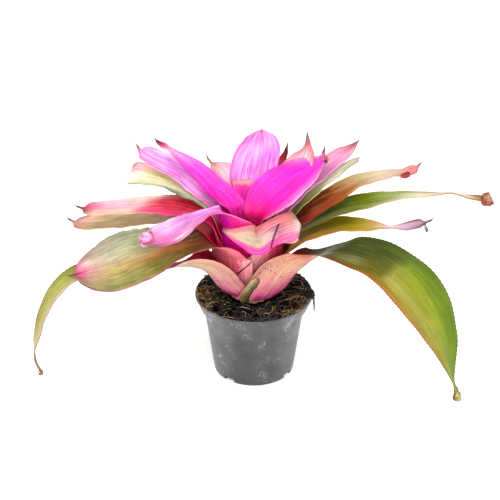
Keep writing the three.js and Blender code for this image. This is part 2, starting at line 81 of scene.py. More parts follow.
bpy.ops.mesh.primitive_plane_add(size=9.0, location=(0, 0, -PAPER_DROP))
paper = bpy.context.object
paper.name = "paper_floor"
paper.data.materials.append(new_material("studio paper", {
    "Base Color": (0.90, 0.90, 0.90, 1),
    "Roughness": 0.9,
    "Specular IOR Level": 0.1,
    "Emission Color": (1, 1, 1, 1),
    "Emission Strength": 0.32,
}))

sky = bpy.data.worlds.new("studio")
sky.use_nodes = True
feed(sky.node_tree.nodes["Background"], {"Color": (1, 1, 1, 1), "Strength": 0.75})
bpy.context.scene.world = sky

for name, place, tilt, size, watts in (
    ("overhead softbox", (-0.35, -0.45, 1.7), (18, -12, 0), 1.3, 17),
    ("front softbox", (0.4, -1.7, 0.9), (66, 0, 14), 1.3, 20),
    ("low card", (-0.1, -1.6, 0.3), (86, 0, -4), 1.0, 7),
    ("left strip", (-1.2, -0.35, 0.5), (90, 0, -74), 0.7, 7),
    ("right strip", (1.2, -0.35, 0.5), (90, 0, 74), 0.7, 6),
):
    bpy.ops.object.light_add(type="AREA", location=place, rotation=[math.radians(turn) for turn in tilt])
    softbox = bpy.context.object
    softbox.name = name
    softbox.data.shape = "SQUARE"
    softbox.data.size = size
    softbox.data.energy = watts

camera = bpy.data.objects.new("camera", bpy.data.cameras.new("camera"))
bpy.context.collection.objects.link(camera)
camera.data.sensor_width = FILM_WIDTH
camera.data.lens = LENS
camera.data.clip_start = 0.05
camera.data.clip_end = 20
camera.location = (
    CAMERA_ASIDE,
    -CAMERA_DISTANCE * math.cos(LOOK_DOWN),
    AIM_HEIGHT + CAMERA_DISTANCE * math.sin(LOOK_DOWN),
)
camera.rotation_euler = (math.radians(90) - LOOK_DOWN, 0, 0)
bpy.context.scene.camera = camera
bpy.context.scene.view_settings.view_transform = "Standard"


# ---- Pot ------------------------------------------------------------------------------------
# A 12 cm nursery pot, injection-moulded in dark grey polypropylene: a thin tapered wall, a
# flared collar with a rolled rim, and four drain notches cut into the edge of its flat base.

POT_SIDES = 128
BASE_EDGE = 0.041           # the radius at which the notches are cut
NOTCH_BLOCK = (0.012, 0.012, 0.0104)    # inwards, along the edge, and twice the notch's height
NOTCH_CORNER = 0.0012


def pick(*pieces):
    """Leaves these pieces as the only ones selected, the first of them active."""
    bpy.ops.object.select_all(action="DESELECT")
    for piece in pieces:
        piece.select_set(True)
    bpy.context.view_layer.objects.active = pieces[0]


def turned(name, profile, sides):
    """A wall turned from its profile of (radius, height) in millimetres: ring after ring is
    extruded from the first, and the first and the last are closed with a face."""
    radius, height = (value / 1000 for value in profile[0])
    bpy.ops.mesh.primitive_circle_add(vertices=sides, radius=radius, fill_type="NGON",
                                      location=(0, 0, height))
    piece = bpy.context.object
    piece.name = name
    bpy.ops.object.transform_apply(location=True, rotation=True, scale=True)
    bpy.ops.object.mode_set(mode="EDIT")
    bpy.ops.mesh.select_mode(type="EDGE")
    bpy.ops.mesh.select_all(action="SELECT")
    for next_radius, next_height in profile[1:]:
        rise = next_height / 1000 - height
        bpy.ops.mesh.extrude_edges_move(TRANSFORM_OT_translate={"value": (0, 0, rise)})
        factor = next_radius / 1000 / radius
        height += rise
        bpy.ops.transform.resize(value=(factor, factor, 1), center_override=(0, 0, height))
        radius = next_radius / 1000
    bpy.ops.mesh.edge_face_add()
    bpy.ops.mesh.select_all(action="SELECT")
    bpy.ops.mesh.normals_make_consistent(inside=False)
    bpy.ops.object.mode_set(mode="OBJECT")
    return piece


pot = turned("pot_shell", [
    # the flat base, and the outside of the wall
    (38.6, 0.0), (39.8, 0.25), (40.6, 0.9), (41.1, 2.0), (43.4, 18.0), (45.8, 35.0), (48.2, 52.0),
    # the collar, which flares to the rim
    (50.8, 70.8), (51.1, 72.4), (51.9, 73.5), (54.3, 75.0), (55.4, 75.8), (56.0, 77.4), (58.9, 85.2),
    # over the rolled rim, and down the inside
    (59.7, 85.7), (60.0, 86.3), (60.0, 87.3), (59.7, 88.1), (59.1, 88.5), (58.6, 88.5), (58.1, 88.1),
    (57.8, 87.4), (54.0, 77.0), (50.0, 74.0), (49.4, 72.6), (44.6, 40.0), (39.5, 3.0), (38.6, 2.1),
    (37.6, 2.0),
], POT_SIDES)
for angle in (-128, -33, 52, 147):
    turn = math.radians(angle)
    bpy.ops.object.select_all(action="DESELECT")
    bpy.ops.mesh.primitive_cube_add(
        size=1, location=(BASE_EDGE * math.cos(turn), BASE_EDGE * math.sin(turn), 0),
        rotation=(0, 0, turn), scale=NOTCH_BLOCK)
    cutter = bpy.context.object
    bpy.ops.object.transform_apply(location=True, rotation=True, scale=True)
    bpy.ops.object.mode_set(mode="EDIT")
    bpy.ops.mesh.select_all(action="SELECT")
    bpy.ops.mesh.bevel(offset=NOTCH_CORNER, segments=3)
    bpy.ops.object.mode_set(mode="OBJECT")
    pick(pot)
    notch = pot.modifiers.new("drain notch", "BOOLEAN")
    notch.operation = "DIFFERENCE"
    notch.solver = "EXACT"
    notch.object = cutter
    bpy.ops.object.modifier_apply(modifier=notch.name)
    bpy.data.objects.remove(cutter)
bpy.ops.object.shade_smooth_by_angle(angle=math.radians(35))


def new_node(tree, kind, inputs=(), **settings):
    """What a new shader node of a kind puts out, once its settings and its inputs are set."""
    node = tree.nodes.new("ShaderNode" + kind)
    for name, value in settings.items():
        setattr(node, name, value)
    feed(node, dict(inputs))
    return node.outputs


def grain(place, scale, detail=2.0, roughness=0.5):
    """A cloudy tone over the surface, finer as its scale grows."""
    inputs = {"Vector": place, "Scale": scale, "Detail": detail, "Roughness": roughness}
    return new_node(place.id_data, "TexNoise", inputs)["Fac"]


def maths(operation, a, b=0.0, clamp=False):
    """A calculation with a node's output, and with another one or a number."""
    return new_node(a.id_data, "Math", {0: a, 1: b}, operation=operation, use_clamp=clamp)["Value"]


def spread(value, low, high, to_low=0.0, to_high=1.0, smooth=False):
    """The value, where low becomes to_low and high becomes to_high, and held beyond the two."""
    inputs = {"Value": value, "From Min": low, "From Max": high, "To Min": to_low, "To Max": to_high}
    easing = "SMOOTHSTEP" if smooth else "LINEAR"
    return new_node(value.id_data, "MapRange", inputs, interpolation_type=easing)["Result"]


def tones(factor, stops):
    """The colour at a factor, between stops of (place, hex code) or (place, hex code, strength)."""
    node = factor.id_data.nodes.new("ShaderNodeValToRGB")
    feed(node, {"Fac": factor})
    elements = node.color_ramp.elements
    elements.remove(elements[-1])
    elements[0].position = stops[0][0]
    elements[0].color = pigment(*stops[0][1:])
    for place, *paint in stops[1:]:
        elements.new(place).color = pigment(*paint)
    return node.outputs["Color"]


def mixed(factor, under, over, blend="MIX"):
    """The under colour, with the over colour laid on it by a factor."""
    inputs = {"Factor": factor, "A": under, "B": over}
    return new_node(under.id_data, "Mix", inputs, data_type="RGBA", blend_type=blend)["Result"]


def relief(height, strength, depth):
    """A surface that stands up with the height, by a depth in metres."""
    inputs = {"Height": height, "Strength": strength, "Distance": depth}
    return new_node(height.id_data, "Bump", inputs)["Normal"]


pot_plastic = new_material("grey moulded plastic")
place = new_node(pot_plastic.node_tree, "TexCoord")["Object"]
# a cloudy film of dust and water marks
film = grain(place, 55, detail=6, roughness=0.62)
colour = tones(film, ((0.34, "#2c2b2e"), (0.72, "#454447")))
# pale scuffs in loose clusters
cluster = grain(place, 62)
grit = grain(place, 640, detail=3)
scuffs = spread(maths("MULTIPLY", cluster, grit), 0.345, 0.42, 0, 0.3)
colour = mixed(scuffs, colour, "#b9bcc0")
# fine curved scratches, where two tones of a slow noise meet, in the same clusters
from_meeting = maths("ABSOLUTE", maths("SUBTRACT", grain(place, 95, detail=1), 0.5))
scratches = maths("MULTIPLY", spread(from_meeting, 0.012, 0.004, 0, 0.5), spread(cluster, 0.52, 0.62))
colour = mixed(scratches, colour, "#a8aaac")
# painted sheen, brighter on the two sides where the side strips would shine, and darker towards the foot
axes = new_node(pot_plastic.node_tree, "SeparateXYZ", {"Vector": place})
painted_side_sheen = spread(maths("ABSOLUTE", axes["X"]), 0.018, 0.048, 0.84, 2.05)
sheen_and_foot_tone = maths("MULTIPLY", painted_side_sheen, spread(axes["Z"], 0, 0.06, 0.6, 1.04))
sheened_plastic = new_node(pot_plastic.node_tree, "VectorMath", {"Vector": colour, "Scale": sheen_and_foot_tone}, operation="SCALE")
finish(pot_plastic, {
    "Base Color": sheened_plastic["Vector"],
    "Roughness": spread(film, 0, 1, 0.30, 0.46),
    "Normal": relief(grit, 0.25, 0.0004),
})
pot.data.materials.append(pot_plastic)
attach(pot, "root")
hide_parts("pot")


# ---- Potting mix ----------------------------------------------------------------------------
# Damp peat that fills the pot to its rim, in crumbs of every size. It is one turned body whose
# top is raised into crumbs, with strands of coir and chips of bark strewn over it.

PEAT_SIDES = 144
PEAT_LEVEL = 87.4           # of the flat top, in millimetres, before it is raised
CRUMBS = ((60, 0.3, 0.0016), (190, 2.1, 0.0020), (520, 5.2, 0.0016))    # fineness, layer, height
CRUMBS_ABOVE, CRUMBS_WITHIN = 0.0868, 0.0566    # the height and the radius of what is raised

soil = turned("peat", [
    (34.0, 2.4), (39.0, 2.6), (39.4, 4.0), (48.9, 73.0), (53.4, 76.6), (55.6, 82.0), (57.0, 85.6),
    (57.2, 86.6), (56.4, 87.2),
] + [(radius, PEAT_LEVEL) for radius in (
    55.3, 54.1, 52.8, 51.5, 50.1, 48.7, 47.2, 45.7, 44.2, 42.6, 41.0, 39.4, 37.7, 36.0, 34.3, 32.6,
    30.8, 29.0, 27.0, 25.0, 22.0, 18.0, 12.0, 6.0,
)], PEAT_SIDES)


def crumb_height(x, y):
    """How far the peat stands above its level at a place, in metres, in three sizes of crumb."""
    return sum(height * noise.noise((x * fineness, y * fineness, layer), noise_basis="PERLIN_ORIGINAL")
               for fineness, layer, height in CRUMBS)


for point in soil.data.vertices:
    if point.co.z > CRUMBS_ABOVE and math.hypot(point.co.x, point.co.y) < CRUMBS_WITHIN:
        point.co.z += crumb_height(point.co.x, point.co.y)
soil.data.update()
pick(soil)
bpy.ops.object.shade_smooth_by_angle(angle=math.radians(50))


def new_group(name, inputs, outputs):
    """A shader node group of number sockets, and its two inner ends. inputs is {name: default}."""
    group = bpy.data.node_groups.new(name, "ShaderNodeTree")
    for socket, default in inputs.items():
        number = group.interface.new_socket(socket, in_out="INPUT", socket_type="NodeSocketFloat")
        number.default_value = default
    for socket in outputs:
        group.interface.new_socket(socket, in_out="OUTPUT", socket_type="NodeSocketFloat")
    return group, group.nodes.new("NodeGroupInput").outputs, group.nodes.new("NodeGroupOutput")


# Blotches, for peat, coir, bark and withered ends: uneven patches over the piece.
blotch_inputs = {"Scale": 100.0, "Detail": 2.0, "Raggedness": 0.5}
blotches, given, result = new_group("blotches", blotch_inputs, ["Tone"])
place = new_node(blotches, "TexCoord")["Object"]
feed(result, {"Tone": grain(place, given["Scale"], given["Detail"], given["Raggedness"])})


def blotched(name, stops, roughness, raised=None, **patches):
    """A material in blotched tones. patches are inputs of the blotches, and raised is the
    strength and the depth in metres by which they stand up."""
    material = new_material(name)
    tone = new_node(material.node_tree, "Group", patches, node_tree=blotches)["Tone"]
    finish(material, {"Base Color": tones(tone, stops), "Roughness": roughness})
    if raised:
        finish(material, {"Normal": relief(tone, *raised)})
    return material


damp_peat = blotched("damp peat", ((0.38, "#050302"), (0.52, "#0c0704"), (0.66, "#241508")), 0.85,
                     raised=(0.9, 0.0012), Scale=260, Detail=6, Raggedness=0.7)
finish(damp_peat, {"Specular IOR Level": 0.03})
soil.data.materials.append(damp_peat)
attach(soil, "root")
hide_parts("soil")


# ---- Coir and bark --------------------------------------------------------------------------
# Loose strands of coconut coir that curl over the peat, tan, golden, pale and nearly black, and
# small chips of bark between them. A strand is a bent thread whose ends are pressed into the peat.

TOP_OF_PEAT = 0.0878
SUNK = 0.0004               # how deep the ends of a strand lie
BARE_RING = (0.029, 0.0585)     # the radii between which the peat shows and strands stay
RIM, ON_RIM = 0.0570, 0.0008    # beyond this radius chips lie on the pot's rim, this much higher
chance = random.Random(11)


def strewn(low, high):
    """A random place on the ring of bare peat between two radii, and the angle it lies at."""
    angle = chance.uniform(0, 2 * math.pi)
    return math.sqrt(chance.uniform(low ** 2, high ** 2)), angle


def lay_threads(name, strands, thickness, steps, fibre):
    """Lays threads along strands, which are lists of (x, y, height, share of the thickness)."""
    curve = bpy.data.curves.new(name, "CURVE")
    curve.dimensions = "3D"
    curve.bevel_depth = thickness
    curve.bevel_resolution = 0
    curve.resolution_u = steps
    for strand in strands:
        line = curve.splines.new("NURBS")
        line.points.add(len(strand) - 1)
        line.use_endpoint_u = True
        line.order_u = 4
        for point, (x, y, height, share) in zip(line.points, strand):
            point.co = (x, y, height, 1)
            point.radius = share
    threads = bpy.data.objects.new(name, curve)
    bpy.context.collection.objects.link(threads)
    pick(threads)
    bpy.ops.object.convert(target="MESH")
    threads = bpy.context.object
    threads.name = name
    bpy.ops.object.shade_smooth()
    threads.data.materials.clear()
    threads.data.materials.append(fibre)
    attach(threads, "root")


for name, colour, count, thickness in (
    ("coir_tan", "#a88458", 90, 0.00020), ("coir_gold", "#b08a4c", 90, 0.00022),
    ("coir_pale", "#f0dcb8", 36, 0.00016), ("coir_dark", "#140c07", 260, 0.00055),
):
    strands = []
    for number in range(count):
        reach, angle = strewn(0.030, 0.0575)
        if name == "coir_gold" and number % 2 == 0:
            # every other golden strand lies in one patch at the left
            reach, angle = chance.uniform(0.043, 0.058), chance.gauss(math.radians(190), 0.2)
        x, y = reach * math.cos(angle), reach * math.sin(angle)
        heading = chance.uniform(0, 2 * math.pi)
        curl = chance.uniform(-0.55, 0.55)
        lift = chance.uniform(0.0010, 0.0046)
        knots = chance.randint(5, 9)
        step = chance.uniform(0.0018, 0.0036)
        strand = []
        for knot in range(knots):
            arch = math.sin(math.pi * (knot / (knots - 1)))
            height = TOP_OF_PEAT - SUNK + lift * arch ** 0.8 + chance.uniform(-0.0003, 0.0003)
            strand.append((x, y, height, 0.6 + 0.5 * arch))
            heading += curl + chance.uniform(-0.4, 0.4)
            x, y = x + step * math.cos(heading), y + step * math.sin(heading)
            away = math.hypot(x, y)
            keep = min(max(away, BARE_RING[0]), BARE_RING[1]) / away
            x, y = x * keep, y * keep
        strands.append(strand)
    fibre = blotched(name.replace("_", " "), ((0.35, colour, 0.35), (0.6, colour)), 0.6, Scale=130)
    lay_threads(name, strands, thickness, 3, fibre)

# a wisp of dark coir that hangs over the rim at the right
strands = []
for number in range(14):
    angle = math.radians(-13 + 1.1 * number + chance.uniform(-1.5, 1.5))
    droop = chance.uniform(0.004, 0.019) if number % 2 else chance.uniform(0.002, 0.008)
    course = ((0.0530, 0.0872), (0.0578, 0.0896), (0.0606, 0.0893), (0.0618, 0.0870),
              (0.0616, 0.0870 - droop / 2), (0.0614 + chance.uniform(0, 0.0015), 0.0870 - droop))
    strand = []
    for knot, (reach, height) in enumerate(course):
        bearing = angle + chance.uniform(-0.03, 0.03)
        strand.append((reach * math.cos(bearing), reach * math.sin(bearing), height, 1 - 0.12 * knot))
    strands.append(strand)
lay_threads("coir_wisp", strands, 0.0008, 4, bpy.data.materials["coir dark"])


def copied(pattern):
    """A copy of a piece that was modelled once, with its own mesh."""
    piece = pattern.copy()
    piece.data = pattern.data.copy()
    bpy.context.collection.objects.link(piece)
    return piece


def join_all(pieces, name, skin):
    """Makes one piece of many, with their places in its mesh."""
    pick(*pieces)
    bpy.ops.object.join()
    whole = bpy.context.object
    whole.name = name
    bpy.ops.object.transform_apply(location=True, rotation=True, scale=True)
    whole.data.materials.append(skin)
    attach(whole, "root")


bark_brown = blotched("bark", ((0.4, "#080503"), (0.62, "#2c1c10")), 0.8, Scale=90)
bpy.ops.object.select_all(action="DESELECT")
bpy.ops.mesh.primitive_ico_sphere_add(subdivisions=1, radius=0.001)
pattern_chip = bpy.context.object
chips = []
for number in range(420):
    chip = copied(pattern_chip)
    reach, angle = strewn(0.028, 0.0585)
    for point in chip.data.vertices:
        point.co *= chance.uniform(0.7, 1.35)
    rise = ON_RIM if reach > RIM else chance.uniform(-0.0003, 0.0010)
    chip.location = (reach * math.cos(angle), reach * math.sin(angle), TOP_OF_PEAT + rise)
    chip.rotation_euler = (chance.uniform(-0.5, 0.5), chance.uniform(-0.5, 0.5), chance.uniform(0, math.pi))
    chip.scale = (chance.uniform(0.6, 2.4), chance.uniform(0.5, 1.3), chance.uniform(0.35, 0.9))
    chips.append(chip)
bpy.data.objects.remove(pattern_chip)
join_all(chips, "bark_chips", bark_brown)


# ---- Stem -----------------------------------------------------------------------------------
# The short woody stem that the sheaths clasp. It stays the plain solid that it is, because only
# its foot could be seen, under the leaves, and it takes the dull brown of dry stem tissue.

stem = bpy.data.objects["stem"]
stem.data.materials.clear()
stem.data.materials.append(new_material("stem tissue", {"Base Color": "#a88c64", "Roughness": 0.7}))


# ---- Leaves: how each one grows -------------------------------------------------------------
# A leaf is one thin blade: a broad sheath that clasps the stem, the wall of the cup above it,
# and a strap that leans out and ends in a dark spine. Its midrib runs through the rows of the
# leaf's own list, and its cross-section is an arc that also clasps the stem in the sheath.

# The outermost sheath, as (radius, height). A leaf's shell counts the sheaths outside its own.
SHEATH_PROFILE = ((21, 90), (31, 93), (39.5, 102), (43, 118), (43.5, 136))
SHEATH_FOOT, SHEATH_TOP = SHEATH_PROFILE[0][0], SHEATH_PROFILE[-1][0]
SHELL_RISE = 2.6            # how much higher each sheath sits than the one outside it
PLANT_PLACE = np.array((-4.0, 0.0, 2.5))    # of the plant in its pot, in millimetres
ROWS, COLUMNS = 150, 18     # of faces along and across a leaf
LEAST_HALF_WIDTH, LEAST_CUP = 0.6, 0.01


def through(points, t):
    """A Catmull-Rom curve through the points, at t from 0 to 1."""
    points = np.asarray(points, float)
    ends = np.vstack([2 * points[0] - points[1], points, 2 * points[-1] - points[-2]])
    place = np.clip(t, 0, 1) * (len(points) - 1)
    low = np.clip(np.floor(place).astype(int), 0, len(points) - 2)
    w = (place - low)[:, None]
    a, b, c, d = (ends[low + k] for k in range(4))
    slope_b, slope_c = 0.5 * (c - a), 0.5 * (d - b)
    cubic, square = 2 * b - 2 * c + slope_b + slope_c, -3 * b + 3 * c - 2 * slope_b - slope_c
    return cubic * w ** 3 + square * w ** 2 + slope_b * w + b


def unit(v):
    """The same directions, each one long."""
    return v / np.maximum(np.linalg.norm(v, axis=-1, keepdims=True), 1e-12)


def rows_of_leaf(shell, clasp, blade, lean, sheath_rows):
    """The rows that a leaf's midrib runs through, in millimetres and degrees: how far out, how
    far aside, how high, half the width, the twist, the cup, and how much it clasps the stem."""
    table = []
    for index in range(sheath_rows):
        share = index / (len(SHEATH_PROFILE) - 1)
        radius, height = SHEATH_PROFILE[index]
        step = 1.0 + 0.9 * (radius - SHEATH_FOOT) / (SHEATH_TOP - SHEATH_FOOT)
        radius, height = radius - shell * step, height + shell * SHELL_RISE
        hug = math.radians(clasp[0] + (clasp[1] - clasp[0]) * share ** 5)
        turn = math.radians(lean)
        table.append((radius * math.cos(turn), radius * math.sin(turn), height, radius * hug, 0, 0, 1))
    for index, row in enumerate(blade):
        still_clasps = () if len(row) == 7 else (0.5 if index == 0 else 0,)
        table.append(row + still_clasps)
    return np.array(table, float)


def leaf_points(azimuth, table):
    """The middle surface of a leaf as rows of points in millimetres, its length, and half its
    width at each row."""
    turn = math.radians(azimuth)
    outward = np.array((math.cos(turn), math.sin(turn), 0))
    sideways = np.array((-math.sin(turn), math.cos(turn), 0))
    middles = table[:, :1] * outward + table[:, 1:2] * sideways + table[:, 2:3] * np.array((0, 0, 1))
    section = np.column_stack([table[:, 3], np.radians(table[:, 4]), np.radians(table[:, 5])])

    def rib(t):
        return through(middles, t)

    def heading(t):
        return unit(rib(np.clip(t + 1e-4, 0, 1)) - rib(np.clip(t - 1e-4, 0, 1)))

    # the direction across the rib: round the stem in the sheath, then carried without a turn
    steps = np.linspace(0, 1, 241)
    headings, places = heading(steps), rib(steps)
    sheath_end = np.flatnonzero(table[:, 6] == 1).max() / (len(table) - 1)
    across = np.zeros_like(headings)
    for k, t in enumerate(steps):
        last = np.array((-places[k, 1], places[k, 0], 0)) if t <= sheath_end else across[k - 1]
        across[k] = unit(last - headings[k] * unit(last).dot(headings[k]) * np.linalg.norm(last))

    # even steps along the rib
    fine = np.linspace(0, 1, 1201)
    walked = np.concatenate([[0], np.cumsum(np.linalg.norm(np.diff(rib(fine), axis=0), axis=1))])
    along = np.interp(np.linspace(0, walked[-1], ROWS + 1), walked, fine)

    # the strap: an arc across the rib at each row
    share = np.linspace(-1, 1, COLUMNS + 1)[None, :, None]
    values = through(section, along)
    half = np.maximum(values[:, 0], LEAST_HALF_WIDTH)[:, None, None]
    bend = np.maximum(values[:, 2], LEAST_CUP)[:, None, None]
    middle, tangent = rib(along), heading(along)
    level = np.column_stack([np.interp(along, steps, across[:, k]) for k in range(3)])
    level = unit(level - tangent * (level * tangent).sum(1, keepdims=True))
    twist = values[:, 1][:, None]
    lateral = level * np.cos(twist) + np.cross(tangent, level) * np.sin(twist)
    inward = np.cross(tangent, lateral)
    strap = (middle[:, None] + lateral[:, None] * half * np.sin(share * bend) / bend
             + inward[:, None] * half * (1 - np.cos(share * bend)) / bend)

    # the sheath: an arc round the stem at each row
    radius = np.hypot(middle[:, 0], middle[:, 1])[:, None]
    round_stem = np.arctan2(middle[:, 1], middle[:, 0])[:, None] + share[..., 0] * half[..., 0] / radius
    height = np.broadcast_to(middle[:, 2:3], round_stem.shape)
    sheath = np.stack([radius * np.cos(round_stem), radius * np.sin(round_stem), height], -1)

    place = along * (len(table) - 1)
    low = np.clip(np.floor(place).astype(int), 0, len(table) - 2)
    wrap = (table[low, 6] + (table[low + 1, 6] - table[low, 6]) * (place - low))[:, None, None]
    return strap * (1 - wrap) + sheath * wrap, walked[-1], half[:, 0, 0]


# Leaf tissue, for every leaf skin: veins and paler streaks that run along the blade, a slow
# mottle, specks, and the fine ribbing of the surface. Width and Length are in metres, and Across
# and Along run from 0 to 1.
tissue, given, result = new_group("leaf tissue", {"Width": 0.04, "Length": 0.25, "Seed": 0.0},
                                  ["Across", "Along", "Streak", "Band", "Mottle", "Speck", "Rib"])
axes = new_node(tissue, "SeparateXYZ", {"Vector": new_node(tissue, "UVMap", uv_map="UVMap")["UV"]})
width_place = maths("MULTIPLY", axes["X"], given["Width"])
length_place = maths("MULTIPLY", axes["Y"], given["Length"])


def tissue_place(across_scale, along_scale):
    """Where a grain is read, so that it is fine across the leaf and drawn out along it."""
    return new_node(tissue, "CombineXYZ", {
        "X": maths("MULTIPLY", width_place, across_scale),
        "Y": maths("MULTIPLY", length_place, along_scale),
        "Z": given["Seed"],
    })["Vector"]


cells = new_node(tissue, "TexVoronoi", {"Vector": tissue_place(420, 260), "Scale": 1},
                 voronoi_dimensions="2D")
feed(result, {
    "Across": axes["X"],
    "Along": axes["Y"],
    "Streak": grain(tissue_place(620, 34), 1, detail=4, roughness=0.6),
    "Band": grain(tissue_place(130, 9), 1),
    "Mottle": grain(tissue_place(60, 45), 1, detail=4, roughness=0.6),
    "Speck": cells["Distance"],
    "Rib": grain(tissue_place(1600, 22), 1),
})


GLOSS = (0.30, 0.46)
FOOT_FADE = 0.14            # the share of its length over which the foot goes over into the blade
FOLD_FADE = 0.03            # the share of its width over which a fold's line begins and ends
DEEPENING = 1.3             # of all leaf colours, as a gamma


def leaf_skin(name, size, seed, lanes, streak=("#ffffff", 0.0), specks=0.0, speck_zone=(0.0, 1.0),
              wobble=0.08, drift=0.06, mottled=0.12, dull=0.0, depth=0.86,
              foot=("#c8145c", "#e8407c"), foot_end=0.34, folds=()):
    """A leaf's skin. lanes are lines of colour along the leaf, each at its place across it:
    (place across, ((place along, colour), ...)). The colour between two lanes is their blend,
    and wobble and drift say how far it strays along and across. The foot goes from the first
    foot colour to the second, as far as foot_end. folds are fine lines from one (place across,
    place along) to another, each with its width and colour, such as a painted crease shadow."""
    skin = new_material(name)
    tree = skin.node_tree
    size_and_seed = {"Width": size[0] / 1000, "Length": size[1] / 1000, "Seed": seed}
    grown = new_node(tree, "Group", size_and_seed, node_tree=tissue)
    off = maths("SUBTRACT", grown["Band"], 0.5)
    along = maths("ADD", grown["Along"], maths("MULTIPLY", off, wobble), clamp=True)
    across = maths("ADD", grown["Across"], maths("MULTIPLY", off, drift), clamp=True)
    colour = tones(along, lanes[0][1])
    for (last_place, _), (place, stops) in zip(lanes, lanes[1:]):
        colour = mixed(spread(across, last_place, place, smooth=True), colour, tones(along, stops))
    if streak[1]:
        colour = mixed(spread(grown["Streak"], 0.42, 0.72, 0, streak[1]), colour, streak[0])
    if foot:
        base = tones(grown["Along"], ((0.05, foot[0]), (0.24, foot[1])))
        colour = mixed(spread(along, foot_end - FOOT_FADE, foot_end, smooth=True), base, colour)
    # light and shade of the mottle, the streaks and the ribs
    shade = spread(grown["Mottle"], 0.3, 0.7, depth * (1 - mottled), depth * (1 + mottled))
    shade = maths("MULTIPLY", shade, spread(grown["Streak"], 0.34, 0.66, 0.88, 1.08))
    shade = maths("MULTIPLY", shade, spread(grown["Rib"], 0.35, 0.65, 0.94, 1.05))
    tint = new_node(tree, "CombineColor", {"Red": shade, "Green": shade, "Blue": shade})["Color"]
    colour = mixed(1.0, colour, tint, "MULTIPLY")
    if specks:
        dot = spread(grown["Speck"], 0.17, 0.10)
        gate = maths("MULTIPLY", dot, maths("GREATER_THAN", grown["Mottle"], 0.56))
        zone = maths("MULTIPLY", maths("GREATER_THAN", grown["Along"], speck_zone[0]),
                      maths("LESS_THAN", grown["Along"], speck_zone[1]))
        share = maths("MULTIPLY", maths("MULTIPLY", gate, zone), specks)
        colour = mixed(share, colour, "#3a1020")
    for (from_across, from_along), (to_across, to_along), width, line_colour in folds:
        slope = (to_along - from_along) / (to_across - from_across)
        start = from_along - slope * from_across
        line_place = maths("ADD", maths("MULTIPLY", grown["Across"], slope), start)
        distance = maths("ABSOLUTE", maths("SUBTRACT", grown["Along"], line_place))
        begun = spread(grown["Across"], from_across - FOLD_FADE, from_across + FOLD_FADE, smooth=True)
        not_ended = spread(grown["Across"], to_across - FOLD_FADE, to_across + FOLD_FADE, 1, 0, smooth=True)
        inside = maths("MULTIPLY", begun, not_ended)
        line = maths("MULTIPLY", inside, spread(distance, width, 0, smooth=True))
        colour = mixed(line, colour, line_colour)
    colour = new_node(tree, "Gamma", {"Color": colour, "Gamma": DEEPENING})["Color"]
    if dull:
        faded = {"Color": colour, "Saturation": 1 - dull, "Value": 1 - 0.2 * dull}
        colour = new_node(tree, "HueSaturation", faded)["Color"]
    finish(skin, {
        "Base Color": colour,
        "Roughness": spread(grown["Mottle"], 0, 1, *GLOSS),
        "Specular IOR Level": 0.2,
        "Normal": relief(grown["Rib"], 0.35, 0.0004),
    })
    return skin


SPINE_FOOT, SPINE_POINT = 0.0013, 0.0002    # its radii
SPINE_SEAT = 0.0025         # how much of it is sunk in the leaf
thorn_brown = new_material("spine", {"Base Color": "#481418", "Roughness": 0.5})


def add_spine(name, tip, behind, length):
    """The dry spine on a leaf's tip, which goes on the way the tip does, and a little up."""
    aim = Vector(unit(tip - behind)) + Vector((0, 0, 0.35))
    heart = Vector(tip) + aim.normalized() * (length / 2000 - SPINE_SEAT)
    bpy.ops.object.select_all(action="DESELECT")
    bpy.ops.mesh.primitive_cone_add(
        vertices=10, radius1=SPINE_FOOT, radius2=SPINE_POINT, depth=length / 1000,
        location=heart, rotation=aim.to_track_quat("Z", "Y").to_euler())
    thorn = bpy.context.object
    thorn.name = name + "_spine"
    bpy.ops.object.transform_apply(location=True, rotation=True, scale=True)
    bpy.ops.object.shade_smooth_by_angle(angle=math.radians(50))
    thorn.data.materials.append(thorn_brown)
    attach(thorn, "root")


LEAF_THICKNESS = 0.0014
WAVES = 5.0                 # in each margin
CHANNEL_DEPTH, CHANNEL_WIDTH = 0.5, 0.16    # of the channel along the midrib
TOOTH_OUT, TOOTH_ON = 0.55, 0.5     # how far a tooth stands out of the margin, and points to the tip
FULL_TEETH = 8              # the half width of blade at which teeth have their full size
FLESH_STEPS = 16


